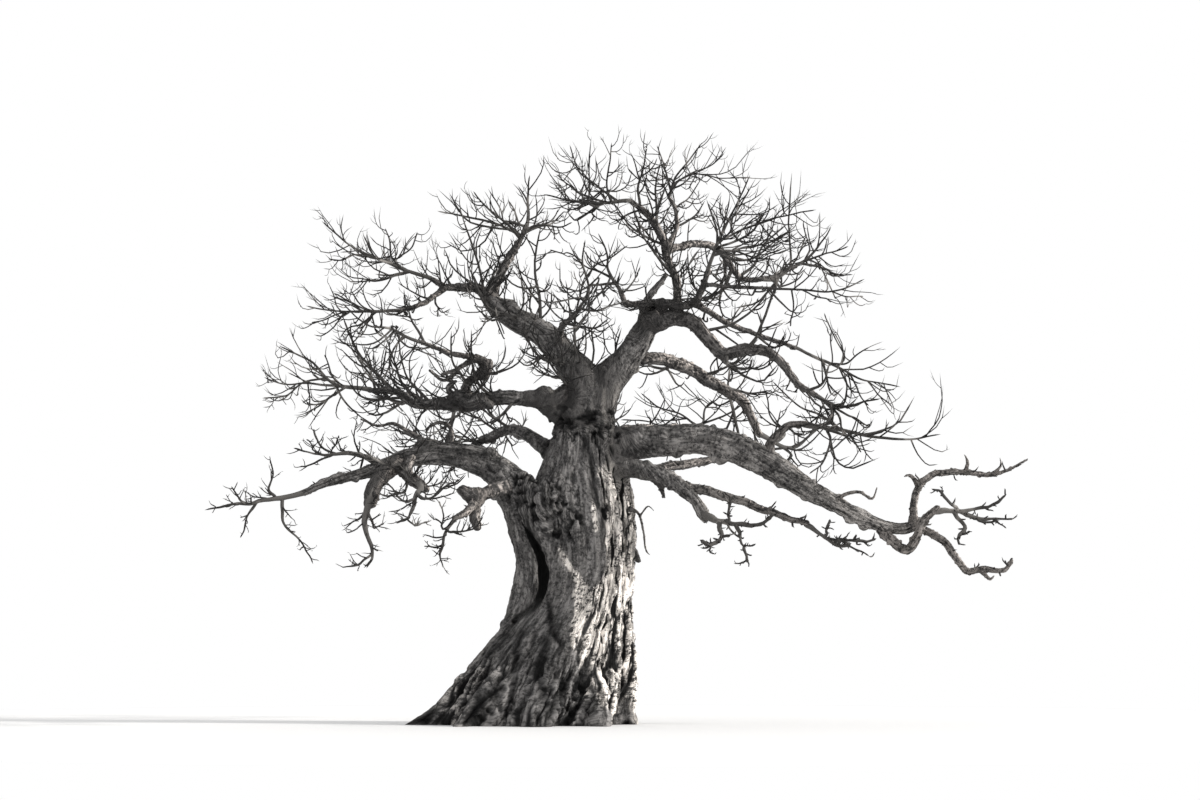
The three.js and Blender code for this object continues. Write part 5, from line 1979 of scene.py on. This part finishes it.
@dataclass
class Studio:
    """The plain pale floor, the soft light and the camera at the viewing angle."""

    lens: float = 72.63
    pitch: float = 6.19
    clip_end: float = 400.0
    floor_radius: float = 24.0
    floor_corners: int = 128
    floor_drop: float = 0.004
    floor_tone: float = 0.7
    floor_roughness: float = 0.9
    sky: float = 1.0
    sun_power: float = 3.6
    sun_height: float = 26.0
    sun_turn: float = -16.0
    sun_softness: float = 4.0
    sun_colour: tuple[float, float, float] = (1.0, 0.975, 0.94)

    def build(self) -> None:
        """Sets up floor, light and camera."""
        self.lay_floor()
        self.hang_light()
        self.place_camera()

    def lay_floor(self) -> None:
        """Lays a pale round floor under the tree."""
        bpy.ops.object.select_all(action="DESELECT")
        corners, radius = self.floor_corners, self.floor_radius
        bpy.ops.mesh.primitive_circle_add(vertices=corners, radius=radius, fill_type="NGON")
        floor = just_added("floor")
        floor.location = (VIEWER.across, 0, -self.floor_drop)
        bpy.ops.object.transform_apply(location=True, rotation=True, scale=True)
        material = bpy.data.materials.new("floor_white")
        material.use_nodes = True
        shader = material.node_tree.nodes["Principled BSDF"]
        shader.inputs["Base Color"].default_value = (self.floor_tone,) * 3 + (1,)
        shader.inputs["Roughness"].default_value = self.floor_roughness
        floor.data.materials.append(material)

    def hang_light(self) -> None:
        """Hangs a low soft sun on the right and a white sky all round."""
        bpy.ops.object.light_add(type="SUN", location=(20, 0, 12))
        sun = just_added("low_sun")
        sun.data.energy = self.sun_power
        sun.data.angle = math.radians(self.sun_softness)
        sun.data.color = self.sun_colour
        height, turn = math.radians(self.sun_height), math.radians(self.sun_turn)
        flat = math.cos(height)
        towards = Vector((flat * math.cos(turn), flat * math.sin(turn), math.sin(height)))
        sun.rotation_euler = towards.to_track_quat("Z", "Y").to_euler()
        world = bpy.data.worlds.new("white_sky")
        bpy.context.scene.world = world
        world.use_nodes = True
        sky = world.node_tree.nodes["Background"]
        sky.inputs["Color"].default_value = (1, 1, 1, 1)
        sky.inputs["Strength"].default_value = self.sky
        bpy.context.scene.view_settings.view_transform = "Standard"

    def place_camera(self) -> None:
        """Places the camera where the viewer stands."""
        bpy.ops.object.camera_add(location=(VIEWER.across, -VIEWER.distance, VIEWER.eye))
        camera = just_added("camera")
        camera.rotation_euler = (math.radians(90 + self.pitch), 0, 0)
        camera.data.lens = self.lens
        camera.data.clip_end = self.clip_end
        bpy.context.scene.camera = camera


class Slot(Enum):
    """Names of the material slots."""

    TRUNK = "trunk_bark"
    BOUGH = "bough_bark"
    TWIG = "twig_bark"


def settle(piece: Piece, material: bpy.types.Material, slot: Slot, *nodes: str) -> None:
    """Dresses a finished piece, and says what it rides on and stands for.

    Args:
        piece: the finished piece.
        material: its finish.
        slot: not used.
        nodes: the nodes that it stands for.
    """
    piece.data.materials.clear()
    piece.data.materials.append(material)
    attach(piece, "root")
    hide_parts(*nodes)
    triangles = sum(len(polygon.vertices) - 2 for polygon in piece.data.polygons)
    LOG.info("%s: %d triangles, stands for %d nodes", piece.name, triangles, len(nodes))


def write_sizes() -> None:
    """Updates the view layer."""
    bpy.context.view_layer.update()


def main() -> None:
    """Builds the tree piece by piece, and the studio round it."""
    logging.basicConfig(level=logging.INFO, format="%(name)s: %(message)s")
    Studio().build()
    weave = bark_weave_group()
    trunk_bark, bough_bark, twig_bark = (finish.make(weave) for finish in (TRUNK_BARK, BOUGH_BARK, TWIG_BARK))
    for piece, nodes in Trunk().build():
        slot = Slot.TRUNK if "trunk" in nodes else Slot.BOUGH
        settle(piece, trunk_bark, slot, *nodes)
    for group in LIMB_GROUPS:
        settle(group.build(), bough_bark, Slot.BOUGH, *group.limbs)
    for piece, mass in Crown().build():
        settle(piece, twig_bark, Slot.TWIG, mass)
    write_sizes()


if __name__ == "__main__":
    main()
